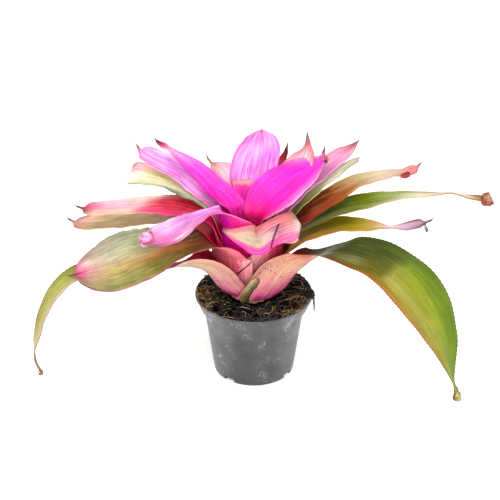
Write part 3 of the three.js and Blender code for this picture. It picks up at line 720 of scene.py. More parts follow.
def grow_leaf(name, azimuth, shell, clasp, blade, inner, seed, outer=None, lean=0, sheath_rows=5,
              ripple=0.5, shape=None, spine=0):
    """One leaf, from a flat grid that is laid along its midrib, toothed at its margins and
    given its thickness. inner and outer say how the skins of its two faces are coloured. spine is
    the length of the dry spine on its tip."""
    points, length, half = leaf_points(azimuth, rows_of_leaf(shell, clasp, blade, lean, sheath_rows))
    step_along, step_across = np.gradient(points, axis=0), np.gradient(points, axis=1)
    normal = unit(np.cross(step_along, step_across))
    t = np.linspace(0, 1, ROWS + 1)[:, None]
    s = np.linspace(-1, 1, COLUMNS + 1)[None, :]
    # soft waves of the margins, and a shallow channel along the midrib
    ease = np.clip((t - 0.18) / 0.15, 0, 1) * np.clip((1 - t) / 0.06, 0, 1)
    swell = (np.sin(WAVES * 2 * math.pi * t + 1.7 * seed + 1.1 * np.sign(s))
             + 0.5 * np.sin(WAVES * 4.6 * math.pi * t + seed))
    lift = ripple * ease * np.abs(s) ** 2.5 * swell
    lift = lift - CHANNEL_DEPTH * ease * np.exp(-(s / CHANNEL_WIDTH) ** 2)
    points = points + normal * lift[..., None]
    # small teeth that point to the tip, on every other row of each margin
    tooth = (np.arange(ROWS + 1) % 2 == 0)[:, None] * np.clip((t - 0.2) / 0.1, 0, 1)
    tooth = tooth * np.clip((0.97 - t) / 0.03, 0, 1)
    tooth = tooth * np.minimum(half, FULL_TEETH)[:, None] / FULL_TEETH
    outward = unit(points[:, [0, -1]] - points[:, [1, -2]])
    forward = unit(step_along[:, [0, -1]])
    points[:, [0, -1]] += tooth[..., None] * (TOOTH_OUT * outward + TOOTH_ON * forward)
    if shape is not None:
        points = shape(points, t, s)
    points = (points + PLANT_PLACE) / 1000

    bpy.ops.object.select_all(action="DESELECT")
    bpy.ops.mesh.primitive_grid_add(x_subdivisions=COLUMNS, y_subdivisions=ROWS, size=1)
    leaf = bpy.context.object
    leaf.name = name + "_blade"
    mesh = leaf.data
    flat = np.empty(len(mesh.vertices) * 3)
    mesh.vertices.foreach_get("co", flat)
    flat = flat.reshape(-1, 3)
    column = np.rint((0.5 - flat[:, 0]) * COLUMNS).astype(int)
    row = np.rint((flat[:, 1] + 0.5) * ROWS).astype(int)
    mesh.vertices.foreach_set("co", points[row, column].ravel())
    corner = np.empty(len(mesh.loops), int)
    mesh.loops.foreach_get("vertex_index", corner)
    leaf_map = np.column_stack([column[corner] / COLUMNS, row[corner] / ROWS])
    mesh.uv_layers.active.data.foreach_set("uv", leaf_map.ravel())
    mesh.update()
    # thickest along the midrib of the blade, thin in the sheath and at the margins
    body = leaf.vertex_groups.new(name="flesh")
    weight = (1 - 0.75 * (2 * column / COLUMNS - 1) ** 2) * np.clip((row / ROWS - 0.2) / 0.15, 0.1, 1)
    level = np.rint(weight * FLESH_STEPS).astype(int)
    for step in np.unique(level):
        body.add(np.flatnonzero(level == step).tolist(), step / FLESH_STEPS, "REPLACE")
    size = (2 * float(half.mean()), float(length))
    outer = outer or dict(inner, dull=0.1)
    mesh.materials.append(leaf_skin(name + " inner face", size, seed, **inner))
    mesh.materials.append(leaf_skin(name + " outer face", size, seed + 40, **outer))
    flesh = leaf.modifiers.new("flesh", "SOLIDIFY")
    flesh.thickness = LEAF_THICKNESS
    flesh.offset = 0
    flesh.vertex_group = "flesh"
    flesh.thickness_vertex_group = 0.5
    flesh.material_offset = 1
    bpy.ops.object.modifier_apply(modifier=flesh.name)
    bpy.ops.object.shade_smooth_by_angle(angle=math.radians(60))
    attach(leaf, "root")
    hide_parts(name)
    if spine:
        add_spine(name, points[-1, COLUMNS // 2], points[-9, COLUMNS // 2], spine)


# ---- Leaf 01 ---------------------------------------------------------------------------------
# Outermost leaf, on the left: a broad pink sheath over the pot's rim, and a narrow olive strap
# that hangs down to a dry, knobbed tip.

grow_leaf(
    "leaf_01", azimuth=205, shell=1, clasp=(78, 80), sheath_rows=3, seed=1,
    blade=[
        (44.5, 0, 116, 45.5, 6, 60, 0.8), (54, -2, 125, 41, 10, 64, 0.3), (66, -8, 127, 21, 8, 40),
        (80, -16, 126, 10, 0, 12), (96, -22, 127, 9, -15, 12), (118, -28, 129, 10, -30, 12),
        (146, -38, 131, 10, -38, 15), (170, -46, 124, 9, -45, 15), (189, -52, 107, 8, -50, 15),
        (202, -56, 82, 7, -50, 15), (210, -58, 56, 5.5, -40, 10), (214, -59, 38, 3.5, -20, 0),
        (213, -57, 24, 1.8, 0, 0), (209, -54, 14, 2.5, 0, 0),
    ],
    inner=dict(lanes=[
        (0.0, ((0.2, "#c08878"), (0.5, "#8c8a38"), (0.8, "#a08a50"), (0.95, "#c8a888"))),
        (0.12, ((0.2, "#d0a080"), (0.45, "#8e9234"), (0.6, "#a2a848"), (0.8, "#b0aa58"), (0.93, "#cfc4a0"))),
        (0.6, ((0.2, "#d09a80"), (0.45, "#a0a24c"), (0.6, "#b4b85c"), (0.8, "#c8c07c"), (0.93, "#dccfb4"))),
        (0.88, ((0.2, "#d8a898"), (0.45, "#b4b070"), (0.8, "#bcb47c"), (0.95, "#d8ccac"))),
        (0.96, ((0.2, "#d8a898"), (0.45, "#e4dcc4"), (0.8, "#e4d8c0"), (0.95, "#e0d0b8"))),
        (1.0, ((0.2, "#c08878"), (0.5, "#b48a78"), (0.97, "#b07860"), (1.0, "#6c3424"))),
    ], streak=("#c8c07c", 0.3), depth=0.68),
    outer=dict(lanes=[
        (0, ((0, "#d84c90"), (0.1, "#e07c9c"), (0.17, "#e8b49c"), (0.24, "#ecccac"), (0.4, "#c8b088"))),
        (0.35, ((0, "#b43080"), (0.05, "#cc4c88"), (0.1, "#e07c98"), (0.16, "#ecc0a4"),
                (0.24, "#ecccac"), (0.3, "#e8c8a8"), (0.4, "#c0b078"), (0.6, "#b4ac70"))),
        (0.7, ((0, "#b42c80"), (0.06, "#d05090"), (0.1, "#e08ca0"), (0.13, "#dc98a4"), (0.17, "#ecc8a8"),
               (0.24, "#e8c8a8"), (0.35, "#e0bc9c"), (0.5, "#b0a868"))),
        (1, ((0, "#b83080"), (0.08, "#d8748c"), (0.14, "#e8b098"), (0.2, "#efccb0"), (0.35, "#d8b088"),
             (0.6, "#b08878"), (1, "#6c3424"))),
    ], streak=("#f8e4d4", 0.3), specks=1, speck_zone=(0.02, 0.2), foot=None, mottled=0.25, depth=0.66),
)


# ---- Leaf 02 ---------------------------------------------------------------------------------
# The broad left leaf: grey-green and creased on its far half, yellow-green on its near half, with
# a salmon streak between, a brown-red throat and a spined pink tip.


def creased(points, t, s):
    """Slanting creases across the far half of the blade."""
    where = np.clip((-s - 0.15) / 0.35, 0, 1)
    where = where * np.clip((t - 0.5) / 0.1, 0, 1) * np.clip((0.9 - t) / 0.08, 0, 1)
    points[..., 2] += 0.8 * where * np.sin(2 * math.pi * (t * 17 - s * 1.4)) * (0.6 + 0.4 * np.sin(23 * t))
    return points


grow_leaf(
    "leaf_02", azimuth=195, shell=3, clasp=(80, 76), spine=7, shape=creased, seed=2,
    blade=[
        (43, 0, 151, 45, 6, 46, 0.6), (56, 1, 152, 23, -4, 30, 0.2), (76, 0, 150, 19, -22, 15),
        (98, 0, 147, 26, -30, 12), (122, 1, 143, 30, -32, 10), (144, 2, 137, 28, -32, 8),
        (162, 1, 133, 21, -30, 5), (173, 1, 132, 13, -20, 5), (177, 1, 132, 5, -10, 0),
        (182, 1, 132, 0.8, 0, 0),
    ],
    inner=dict(lanes=[
        (0, ((0.2, "#903020"), (0.34, "#8c4828"), (0.42, "#808458"), (0.7, "#98987c"), (0.9, "#a8908c"),
             (0.97, "#c06080"), (1, "#701830"))),
        (0.25, ((0.2, "#701c18"), (0.32, "#84381c"), (0.42, "#7c7c48"), (0.6, "#989c74"),
                (0.8, "#b8b49c"), (0.9, "#c8b0a8"), (0.94, "#e078a8"), (0.97, "#b83468"),
                (0.985, "#70183c"))),
        (0.47, ((0.2, "#74201c"), (0.32, "#8c3c20"), (0.42, "#a07848"), (0.6, "#a89c70"),
                (0.8, "#b8a888"), (0.9, "#c89090"), (0.94, "#e05898"), (0.965, "#b02860"),
                (0.985, "#70183c"))),
        (0.57, ((0.2, "#8c2c20"), (0.32, "#b45834"), (0.45, "#d88850"), (0.6, "#bc9058"),
                (0.72, "#b09458"), (0.8, "#b4a060"), (0.9, "#b89080"), (0.95, "#cc6890"),
                (0.98, "#901c48"))),
        (0.72, ((0.2, "#842c20"), (0.35, "#8c6c2c"), (0.6, "#90843c"), (0.8, "#9c9048"),
                (0.93, "#b08c80"), (0.97, "#b04870"))),
        (0.94, ((0.2, "#843c24"), (0.35, "#807428"), (0.6, "#84842c"), (0.8, "#8c8c3c"), (0.95, "#a09068"))),
        (1, ((0.2, "#a83c44"), (0.4, "#b0505c"), (0.7, "#b07478"), (0.9, "#a86878"), (1, "#701830"))),
    ], streak=("#d4d0b0", 0.35), wobble=0.08, mottled=0.2),
    outer=dict(lanes=[
        (0, ((0, "#701030"), (0.22, "#8c1838"), (0.3, "#e0a088"), (0.5, "#9c9c70"), (0.9, "#a89078"),
             (1, "#701830"))),
        (0.4, ((0, "#701030"), (0.22, "#8c1838"), (0.26, "#98203c"), (0.29, "#e06c84"),
               (0.36, "#dc7880"), (0.45, "#a8a070"), (0.7, "#949c68"), (0.9, "#a89080"), (1, "#701830"))),
        (0.65, ((0, "#8c1838"), (0.205, "#901c3c"), (0.24, "#e06484"), (0.3, "#e88090"),
                (0.36, "#dc7880"), (0.45, "#a8a070"), (0.7, "#949c68"), (1, "#701830"))),
        (0.84, ((0, "#ee889c"), (0.17, "#f094a4"), (0.2, "#d86480"), (0.3, "#e47c8c"), (0.36, "#e08084"),
                (0.45, "#b8a070"), (0.7, "#9c9c68"), (1, "#701830"))),
        (1, ((0, "#f490a4"), (0.22, "#fcb4b4"), (0.26, "#fcc8c4"), (0.285, "#dc7088"), (0.33, "#f49c98"),
             (0.45, "#b8a070"), (0.7, "#9c9c68"), (1, "#701830"))),
    ], streak=("#ecc0b4", 0.25), specks=0.9, speck_zone=(0.1, 0.28), foot=None, wobble=0.02, drift=0.02,
        mottled=0.2, depth=0.8, folds=[((0.83, 0.18), (1.0, 0.262), 0.009, "#5c1030")]),
)


# ---- Leaf 03 ---------------------------------------------------------------------------------
# A hot-pink strap on the left whose far half bleaches to cream. It is blunt, with a small dark
# spine, and its sheath lies just inside that of leaf 04.

grow_leaf(
    "leaf_03", azimuth=170, shell=5, clasp=(54, 46), spine=5, seed=3,
    blade=[
        (38, 0, 168, 20, -5, 25), (52, 0, 173, 15, -5, 20), (77, 0, 176, 17, -8, 20),
        (102, 0, 175, 15, -8, 15), (128, 0, 172, 13, -8, 10), (154, 0, 168, 11, -8, 5),
        (168, 0, 166, 9, -5, 0), (171, 0, 166, 3, 0, 0), (178, 0, 168, 0.8, 0, 0),
    ],
    inner=dict(lanes=[
        (0, ((0.2, "#a80838"), (0.44, "#b02838"), (0.54, "#c47c70"), (0.64, "#e4d4c4"),
             (0.85, "#f4d0d8"), (0.95, "#d87898"), (1, "#4c1c1c"))),
        (0.2, ((0.2, "#b80440"), (0.5, "#c0083c"), (0.59, "#c83454"), (0.68, "#f0c4c4"),
               (0.85, "#f8b4cc"), (0.94, "#e06890"), (0.98, "#701c30"))),
        (0.5, ((0.2, "#c40444"), (0.55, "#cc0848"), (0.63, "#dc406c"), (0.7, "#f4b8bc"),
               (0.85, "#f8b0c4"), (0.94, "#d85c80"), (0.98, "#701c30"))),
        (0.8, ((0.2, "#d00c58"), (0.6, "#e0186c"), (0.67, "#ec6490"), (0.73, "#eac4b4"),
               (0.9, "#e8c0b4"), (0.97, "#903848"))),
        (1, ((0.2, "#dc2068"), (0.6, "#f03c88"), (0.68, "#ec88a4"), (0.73, "#dcc8b0"), (0.9, "#dcbca8"),
             (0.97, "#a04858"), (1, "#4c1c1c"))),
    ], streak=("#f8e0d8", 0.2), foot=("#d0086c", "#e82480"), foot_end=0.46, depth=0.9),
)


# ---- Leaf 04 ---------------------------------------------------------------------------------
# An olive and tan strap under leaf 03, streaked with cream, with rosy margins and a small dark
# spine. Its sheath lies between those of leaves 02 and 03.

grow_leaf(
    "leaf_04", azimuth=168, shell=4, clasp=(50, 44), spine=5, seed=4,
    blade=[
        (50, -1, 160, 19, -3, 25), (76, -3, 163, 18, -5, 20), (105, -5, 157, 21, -8, 20),
        (131, -6, 152, 20, -8, 15), (158, -6, 146, 17, -8, 10), (176, -6, 143, 13, -8, 5),
        (184, -6, 143, 9, -5, 0), (186, -6, 143, 3, 0, 0), (192, -6, 146, 0.8, 0, 0),
    ],
    inner=dict(lanes=[
        (0, ((0.3, "#d8c4a0"), (0.5, "#d0b898"), (0.7, "#d4b898"), (0.9, "#d8a49c"), (0.96, "#803c40"),
             (1, "#501c20"))),
        (0.35, ((0.3, "#b4a478"), (0.5, "#b8a87c"), (0.65, "#c4b48c"), (0.8, "#b8a878"),
                (0.93, "#d0a898"), (0.975, "#883c44"))),
        (0.7, ((0.3, "#c0a484"), (0.5, "#c8ac8c"), (0.7, "#b4a46c"), (0.85, "#bca878"), (0.95, "#c09480"))),
        (1, ((0.3, "#a08c5c"), (0.6, "#a08c50"), (0.85, "#a89058"), (0.96, "#a06858"), (1, "#501c20"))),
    ], streak=("#ecdcc8", 0.5), depth=1.08, foot=("#b80c54", "#cc1850"), foot_end=0.46),
)


# ---- Leaf 05 ---------------------------------------------------------------------------------
# A cream and green strap on the left with a dark green lower margin. It ends bluntly, in two
# faint corners with a small spine between them.

grow_leaf(
    "leaf_05", azimuth=158, shell=7, clasp=(48, 40), spine=5, seed=5,
    blade=[
        (40, -1, 174, 13, 0, 25), (65, -2, 185, 15, -5, 20), (87, -2, 192, 14.5, -8, 20),
        (109, -3, 195, 15, -18, 20), (123, -3, 194.5, 14.5, -30, 20), (129, -3, 194, 13.5, -35, 15),
        (132.5, -3, 193.5, 11, -35, 0),
    ],
    inner=dict(lanes=[
        (0, ((0.3, "#c8c09c"), (0.6, "#c8c0a0"), (0.8, "#d8bca4"), (0.95, "#f0b0b8"), (1, "#803848"))),
        (0.3, ((0.3, "#ccc8a4"), (0.55, "#d0ccac"), (0.7, "#c8c490"), (0.82, "#acac60"),
               (0.93, "#e8c4b4"), (0.99, "#d890a0"))),
        (0.65, ((0.3, "#e0d8c8"), (0.6, "#dcd8c4"), (0.8, "#c8c89c"), (0.95, "#dcd0b4"))),
        (0.9, ((0.3, "#d0ccb0"), (0.6, "#a0a484"), (0.66, "#5c7044"), (0.74, "#b8bc98"), (0.95, "#dcd4b4"))),
        (1, ((0.3, "#a8ac80"), (0.58, "#3c5228"), (0.72, "#4c6438"), (0.8, "#b0b08c"), (1, "#807458"))),
    ], streak=("#f4ece0", 0.5), depth=1.08, foot=("#c41060", "#d82468"), foot_end=0.48),
)


# ---- Leaf 06 ---------------------------------------------------------------------------------
# A lilac-pink strap that rises on the left of the cup, with white streaks along it and a small
# dark spine.

grow_leaf(
    "leaf_06", azimuth=150, shell=9, clasp=(36, 28), spine=6, seed=6,
    blade=[
        (37, 0, 175, 13, -5, 25), (52, 0, 186, 14, -12, 20), (71, 0, 197, 13, -18, 20),
        (92, 0, 205, 12, -18, 15), (112, 0, 210, 12, -15, 10), (124, 0, 213, 10, -10, 10),
        (128, 1, 214, 5, 0, 0), (131, 2, 220, 0.8, 0, 0),
    ],
    inner=dict(lanes=[
        (0.0, ((0.3, "#e45cd4"), (0.6, "#ee94e4"), (0.85, "#f8d4f0"), (0.96, "#f0a8d8"), (1.0, "#50203c"))),
        (0.35, ((0.3, "#f060dc"), (0.5, "#ee84e4"), (0.75, "#e890e4"), (0.9, "#e484dc"), (0.97, "#e88cc8"))),
        (0.7, ((0.3, "#ec74dc"), (0.55, "#f0a0e8"), (0.75, "#ec88e0"), (0.9, "#f4b0ec"), (0.97, "#ec90cc"))),
        (1.0, ((0.3, "#e85cb8"), (0.6, "#f090cc"), (0.8, "#ec80c8"), (0.95, "#e87cb0"), (1.0, "#50203c"))),
    ], streak=("#fff0fa", 0.7), mottled=0.2, foot=("#e80c8c", "#f42cb0"), foot_end=0.46),
)


# ---- Leaf 07 ---------------------------------------------------------------------------------
# A vivid magenta inner leaf on the left of the cup. It narrows to a thin neck, and widens again
# a little before its dark tip.

grow_leaf(
    "leaf_07", azimuth=148, shell=14, clasp=(66, 46), spine=6, seed=7,
    blade=[
        (19, 0, 180, 13, -5, 25), (30, 0, 187, 13, -15, 20), (45, 0, 196, 12, -20, 20),
        (62, 0, 207, 10, -20, 20), (80, 1, 216, 7, -15, 20), (94, 2, 223, 3.5, -5, 10),
        (100, 3, 226, 4.5, 0, 10), (106, 4, 229, 3, 0, 0), (109, 4, 231, 0.8, 0, 0),
    ],
    inner=dict(lanes=[
        (0, ((0.3, "#ec30b4"), (0.6, "#e858c0"), (0.8, "#ec84c4"), (0.9, "#e898a8"), (0.955, "#b84860"),
             (1, "#4c1420"))),
        (0.35, ((0.3, "#ec1cb0"), (0.5, "#ec34c4"), (0.7, "#ea50c8"), (0.82, "#f4a4dc"),
                (0.9, "#f0a8c0"), (0.95, "#c84c68"), (1, "#4c1420"))),
        (0.75, ((0.3, "#e808a4"), (0.5, "#e81cb8"), (0.7, "#e430c0"), (0.82, "#ec84d0"),
                (0.9, "#f4c0d8"), (0.95, "#c04868"), (1, "#4c1420"))),
        (1, ((0.3, "#e010a0"), (0.6, "#d818b4"), (0.8, "#dc60c4"), (0.9, "#f8d8e8"), (0.955, "#b84860"),
             (1, "#4c1420"))),
    ], streak=("#fc94e8", 0.45), specks=0.7, speck_zone=(0.4, 0.6), depth=0.84),
)


# ---- Leaf 08 ---------------------------------------------------------------------------------
# A small pale salmon leaf that peeps out at the back, to the left of leaf 09, and turns dark red
# at its spined tip.

grow_leaf(
    "leaf_08", azimuth=114, shell=10, clasp=(20, 20), spine=7, seed=8,
    blade=[
        (38, -1, 179, 11, 0, 25), (52, -1, 190, 13, 0, 20), (64, 1, 196, 11, 0, 15),
        (76, 6, 197, 6, 0, 5), (79, 8, 198, 2, 0, 0), (84, 10, 202, 0.8, 0, 0),
    ],
    inner=dict(lanes=[
        (0, ((0.3, "#f8c0e0"), (0.9, "#f0a0b0"), (1, "#802838"))),
        (0.5, ((0.3, "#fcd0f0"), (0.75, "#fad4e0"), (0.88, "#ecb0b0"), (0.95, "#b85c58"), (1, "#702028"))),
        (1, ((0.3, "#f8c0e0"), (0.9, "#e898a0"), (1, "#802838"))),
    ], streak=("#ffe8f0", 0.5), depth=1.0),
)


# ---- Leaf 09 ---------------------------------------------------------------------------------
# The round orchid-pink leaf at the back of the cup, streaked white from foot to tip. It stands
# the highest of all.

grow_leaf(
    "leaf_09", azimuth=86, shell=12, clasp=(62, 56), ripple=0.2, spine=4, seed=9,
    blade=[
        (28, 0, 177, 20, 0, 35, 0.5), (36, 0, 186, 22, 0, 35), (45, 0, 196, 24, 0, 30),
        (52, -2, 207, 23.5, 0, 25), (60, -6, 218, 21, 0, 20), (66.5, -7, 226.5, 16.5, 0, 10),
        (70, -7, 231.5, 9.5, 0, 0), (71.5, -7, 235, 1.2, 0, 0),
    ],
    inner=dict(lanes=[
        (0, ((0.3, "#e868bc"), (0.7, "#ec74d0"), (0.95, "#e078c8"))),
        (0.2, ((0.3, "#f0a0d4"), (0.55, "#f4b0e4"), (0.8, "#e474d8"), (0.95, "#e884d4"))),
        (0.5, ((0.3, "#f088c0"), (0.5, "#f4a4e4"), (0.7, "#e070d8"), (0.88, "#f09ce4"), (0.98, "#e070bc"))),
        (0.8, ((0.3, "#f094c0"), (0.55, "#e47cd4"), (0.8, "#f0a0e4"), (0.95, "#e078d0"))),
        (1, ((0.3, "#e870b0"), (0.6, "#e470c8"), (0.95, "#d86cc8"), (1, "#c06888"))),
    ], streak=("#fdeaf8", 0.55), wobble=0.2, drift=0.1, mottled=0.2, depth=0.8),
)


# ---- Leaf 10 ---------------------------------------------------------------------------------
# A small red-tipped leaf at the back, to the right of leaf 09, which narrows early to a dark
# spined point.

grow_leaf(
    "leaf_10", azimuth=68, shell=10, clasp=(22, 22), spine=7, seed=10,
    blade=[
        (42, -1, 177, 12, 0, 25), (58, -2, 189, 9, 0, 20), (72, -4, 199, 5, 0, 15),
        (80, -6, 206, 3, 0, 10), (83, -6, 208, 2.2, 0, 0), (87, -6, 213, 0.8, 0, 0),
    ],
    inner=dict(lanes=[
        (0.0, ((0.3, "#f0a0b0"), (0.8, "#d85870"), (0.9, "#901c34"), (1.0, "#400c18"))),
        (0.5, ((0.3, "#f4b0c0"), (0.75, "#ec8090"), (0.88, "#c83c50"), (0.95, "#801828"), (1.0, "#400c18"))),
        (1.0, ((0.3, "#f0a0b0"), (0.8, "#c84860"), (0.9, "#901c34"), (1.0, "#400c18"))),
    ]),
)


# ---- Leaf 11 ---------------------------------------------------------------------------------
# A salmon leaf at the back, cream along its middle, which draws in to a fine dark point that
# turns up.

grow_leaf(
    "leaf_11", azimuth=52, shell=11, clasp=(50, 46), spine=6, seed=11,
    blade=[
        (36, -1, 178, 15, 0, 25), (52, -4, 192.5, 16, 0, 20), (67, -8, 203.5, 15, 0, 15),
        (78, -9, 211.5, 12, 0, 10), (86, -7, 219.5, 4.5, 0, 0), (92, -2, 229, 0.8, 0, 0),
    ],
    inner=dict(lanes=[
        (0, ((0.3, "#e880b0"), (0.7, "#f094b0"), (0.88, "#d87090"), (0.95, "#702030"), (1, "#400c18"))),
        (0.3, ((0.3, "#f0a8c0"), (0.6, "#f8b8c0"), (0.8, "#f8b0b8"), (0.9, "#d06878"), (0.97, "#50141c"))),
        (0.6, ((0.3, "#e4dcbc"), (0.6, "#f4ecd4"), (0.76, "#f8ccc8"), (0.87, "#f090a0"), (0.94, "#702030"))),
        (1, ((0.3, "#e0a8a0"), (0.7, "#f0a0bc"), (0.88, "#c86878"), (1, "#400c18"))),
    ], streak=("#fceee4", 0.5), depth=1.02),
)


# ---- Leaf 12 ---------------------------------------------------------------------------------
# The broad magenta leaf on the right of the cup, red at its foot and pale along its lower margin.
# It draws in to a thin end that has withered.

grow_leaf(
    "leaf_12", azimuth=32, shell=16, clasp=(64, 46), sheath_rows=4, spine=6, seed=12,
    blade=[
        (12.5, 2.5, 170, 16.5, 12, 45, 0.7), (19, 1.5, 179, 23.5, 15, 35, 0.3),
        (28, 1, 187, 25.5, 18, 25), (41, 1, 195, 24.5, 18, 18), (59, 2, 202, 21.5, 15, 15),
        (72, 3, 206.5, 16.5, 14, 15), (80, 3.5, 209, 11.5, 13, 10), (86, 3, 212, 6.5, 12, 5),
        (88.5, 3, 216, 3, 10, 0), (90, 3, 223, 0.8, 0, 0),
    ],
    inner=dict(lanes=[
        (0, ((0.25, "#f080b0"), (0.4, "#f8a8d4"), (0.6, "#fac4ec"), (0.8, "#f4a8dc"), (0.93, "#e88cb8"),
             (1, "#401020"))),
        (0.08, ((0.25, "#ee2c88"), (0.4, "#f06cb8"), (0.6, "#f088d4"), (0.8, "#ec74cc"), (0.93, "#e468b0"))),
        (0.25, ((0.25, "#f00860"), (0.33, "#f00c90"), (0.45, "#ee20c0"), (0.8, "#e834c8"),
                (0.92, "#e454c8"))),
        (0.65, ((0.25, "#f00878"), (0.33, "#f20c98"), (0.45, "#ee20c0"), (0.75, "#e22ccc"),
                (0.9, "#e45ccc"), (0.955, "#b86078"), (1, "#401020"))),
        (1, ((0.25, "#f00890"), (0.38, "#f018b4"), (0.5, "#ee34c8"), (0.7, "#e048b8"), (0.84, "#eca0c4"),
             (0.89, "#f4e8dc"), (0.94, "#c89888"), (1, "#401020"))),
    ], streak=("#f874dc", 0.32), specks=0.9, speck_zone=(0.3, 0.62), depth=0.84),
)


# ---- Leaf 13 ---------------------------------------------------------------------------------
# A pink leaf behind the broad magenta one, streaked with white, with a salmon edge and a dark
# spined point.

grow_leaf(
    "leaf_13", azimuth=34, shell=9, clasp=(42, 38), spine=5, seed=13,
    blade=[
        (38, 0, 168, 12, 0, 25), (62, 0, 186, 13, 0, 20), (88, 0, 200, 14, 0, 15),
        (110, 0, 210, 12, 0, 10), (124, 0, 215, 6, 0, 0), (133, 0, 220, 0.8, 0, 0),
    ],
    inner=dict(lanes=[
        (0, ((0.4, "#e880c0"), (0.8, "#f098d0"), (0.92, "#ec98b0"), (1, "#702030"))),
        (0.5, ((0.4, "#ee7cd0"), (0.7, "#f4a8dc"), (0.85, "#f0a8cc"), (0.93, "#e88898"), (0.98, "#702030"))),
        (1, ((0.4, "#ecb0c8"), (0.75, "#f0b8d4"), (0.9, "#ec98a4"), (0.97, "#a03848"), (1, "#601828"))),
    ], streak=("#fce4f4", 0.55)),
)


# ---- Leaf 14 ---------------------------------------------------------------------------------
# A cream-green leaf on the right, olive towards its foot and blunt at its end, which has a small
# spine.

grow_leaf(
    "leaf_14", azimuth=26, shell=8, clasp=(46, 42), spine=5, seed=14,
    blade=[
        (40, 0, 164, 13, 0, 25), (60, 0, 180, 13, 0, 20), (78, 0, 191, 11, 0, 15),
        (94, 0, 198, 8, 0, 10), (108, 0, 205, 6, 0, 10), (118, 0, 209, 5, 0, 0), (122, 0, 211, 2, 0, 0),
    ],
    inner=dict(lanes=[
        (0, ((0.3, "#848820"), (0.5, "#a0a040"), (0.65, "#c8c890"), (0.8, "#e0dcc0"), (1, "#a09c84"))),
        (0.4, ((0.3, "#747c10"), (0.45, "#90983c"), (0.6, "#b8c070"), (0.72, "#e0e4c4"),
               (0.85, "#dcdcc0"), (1, "#c8c4a8"))),
        (1, ((0.3, "#98a040"), (0.5, "#b0b858"), (0.7, "#dce0b8"), (0.9, "#e4e0cc"), (1, "#b0aa90"))),
    ], streak=("#f0f0e0", 0.3), foot_end=0.26),
)


# ---- Leaf 15 ---------------------------------------------------------------------------------
# A brown-red strap on the right that bleaches to cream and pink at its end, where its tip has
# withered to a dark red point.

grow_leaf(
    "leaf_15", azimuth=12, shell=7, clasp=(50, 44), spine=6, seed=15,
    blade=[
        (40, 0, 158, 15, 3, 25), (62, 0, 172, 16, 5, 15), (87, 0, 187, 15, 5, 15),
        (112, 0, 200, 12, 5, 15), (138, 0, 204, 9, 0, 10), (158, 0, 205, 8.5, 0, 5),
        (168, 0, 208, 8, 0, 0), (171, 0, 210, 3, 0, 0), (174, 0, 213, 0.8, 0, 0),
    ],
    inner=dict(lanes=[
        (0, ((0.25, "#7c1c14"), (0.4, "#983418"), (0.52, "#a84c20"), (0.6, "#b47040"), (0.68, "#d0b090"),
             (0.85, "#dccab8"), (0.95, "#e49ca4"), (1, "#602028"))),
        (0.3, ((0.25, "#701010"), (0.38, "#8c2418"), (0.45, "#b06858"), (0.5, "#a85430"),
               (0.6, "#a85c2c"), (0.7, "#c8ac8c"), (0.85, "#e8dcc8"), (0.94, "#ecacb0"))),
        (0.6, ((0.25, "#601c0c"), (0.4, "#782c10"), (0.52, "#84401c"), (0.64, "#a07048"),
               (0.73, "#d0c4a4"), (0.88, "#e8d4c0"), (0.96, "#f0a4a8"))),
        (0.9, ((0.25, "#803020"), (0.4, "#7c4018"), (0.54, "#88502c"), (0.65, "#b89c78"),
               (0.8, "#e0d8c0"), (0.95, "#f0b4b0"))),
        (1, ((0.25, "#784414"), (0.45, "#84582c"), (0.6, "#a4885c"), (0.8, "#c8bc9c"), (0.95, "#d88890"),
             (1, "#602028"))),
    ], streak=("#f4ece0", 0.3), depth=0.8, dull=-0.22, foot_end=0.3),
)


# ---- Leaf 16 ---------------------------------------------------------------------------------
# A long olive strap on the right that withers to a cream thread, widens once more and ends in a
# brown knob.

grow_leaf(
    "leaf_16", azimuth=3, shell=6, clasp=(48, 28), seed=16,
    blade=[
        (46, 2, 155, 11, 0, 25), (68, 0, 168, 17, 3, 20), (94, 0, 179, 18, 5, 20),
        (124, 0, 186, 15, 5, 20), (154, 0, 191, 11, 0, 15), (179, 0, 192, 5, 0, 10),
        (201, 0, 193, 2.5, 0, 5), (219, 0, 188, 5, 0, 10), (231, 0, 185, 8, 0, 20),
        (239, 0, 184, 6, 0, 10), (242, 0, 183, 2, 0, 0),
    ],
    inner=dict(lanes=[
        (0, ((0.2, "#8c7018"), (0.38, "#6c6408"), (0.5, "#988c50"), (0.62, "#d4c8a8"), (0.72, "#e0d4c0"),
             (0.8, "#c8958c"), (0.9, "#c09080"), (1, "#6c2c20"))),
        (0.25, ((0.2, "#a08414"), (0.36, "#6c7400"), (0.5, "#708000"), (0.58, "#a8a878"),
                (0.66, "#d8d4bc"), (0.75, "#ece6d8"), (0.9, "#e4dcc8"), (0.965, "#b86c54"))),
        (0.6, ((0.2, "#988c08"), (0.33, "#6c7800"), (0.45, "#607800"), (0.54, "#74842c"),
               (0.62, "#a8b080"), (0.72, "#dcdcc4"), (0.9, "#e8e0cc"), (0.95, "#a8ac6c"),
               (0.98, "#a85c48"))),
        (1, ((0.2, "#787010"), (0.35, "#5c6408"), (0.47, "#7c8c30"), (0.6, "#98a464"), (0.72, "#b8b890"),
             (0.8, "#b88880"), (0.9, "#c89890"), (1, "#802c20"))),
    ], streak=("#e4e4c8", 0.2), depth=0.84, dull=-0.26, foot_end=0.24),
)


# ---- Leaf 17 ---------------------------------------------------------------------------------
# An olive-brown strap on the right, pinched where it has dried, whose lilac tip beyond that ends
# in a dark curl.

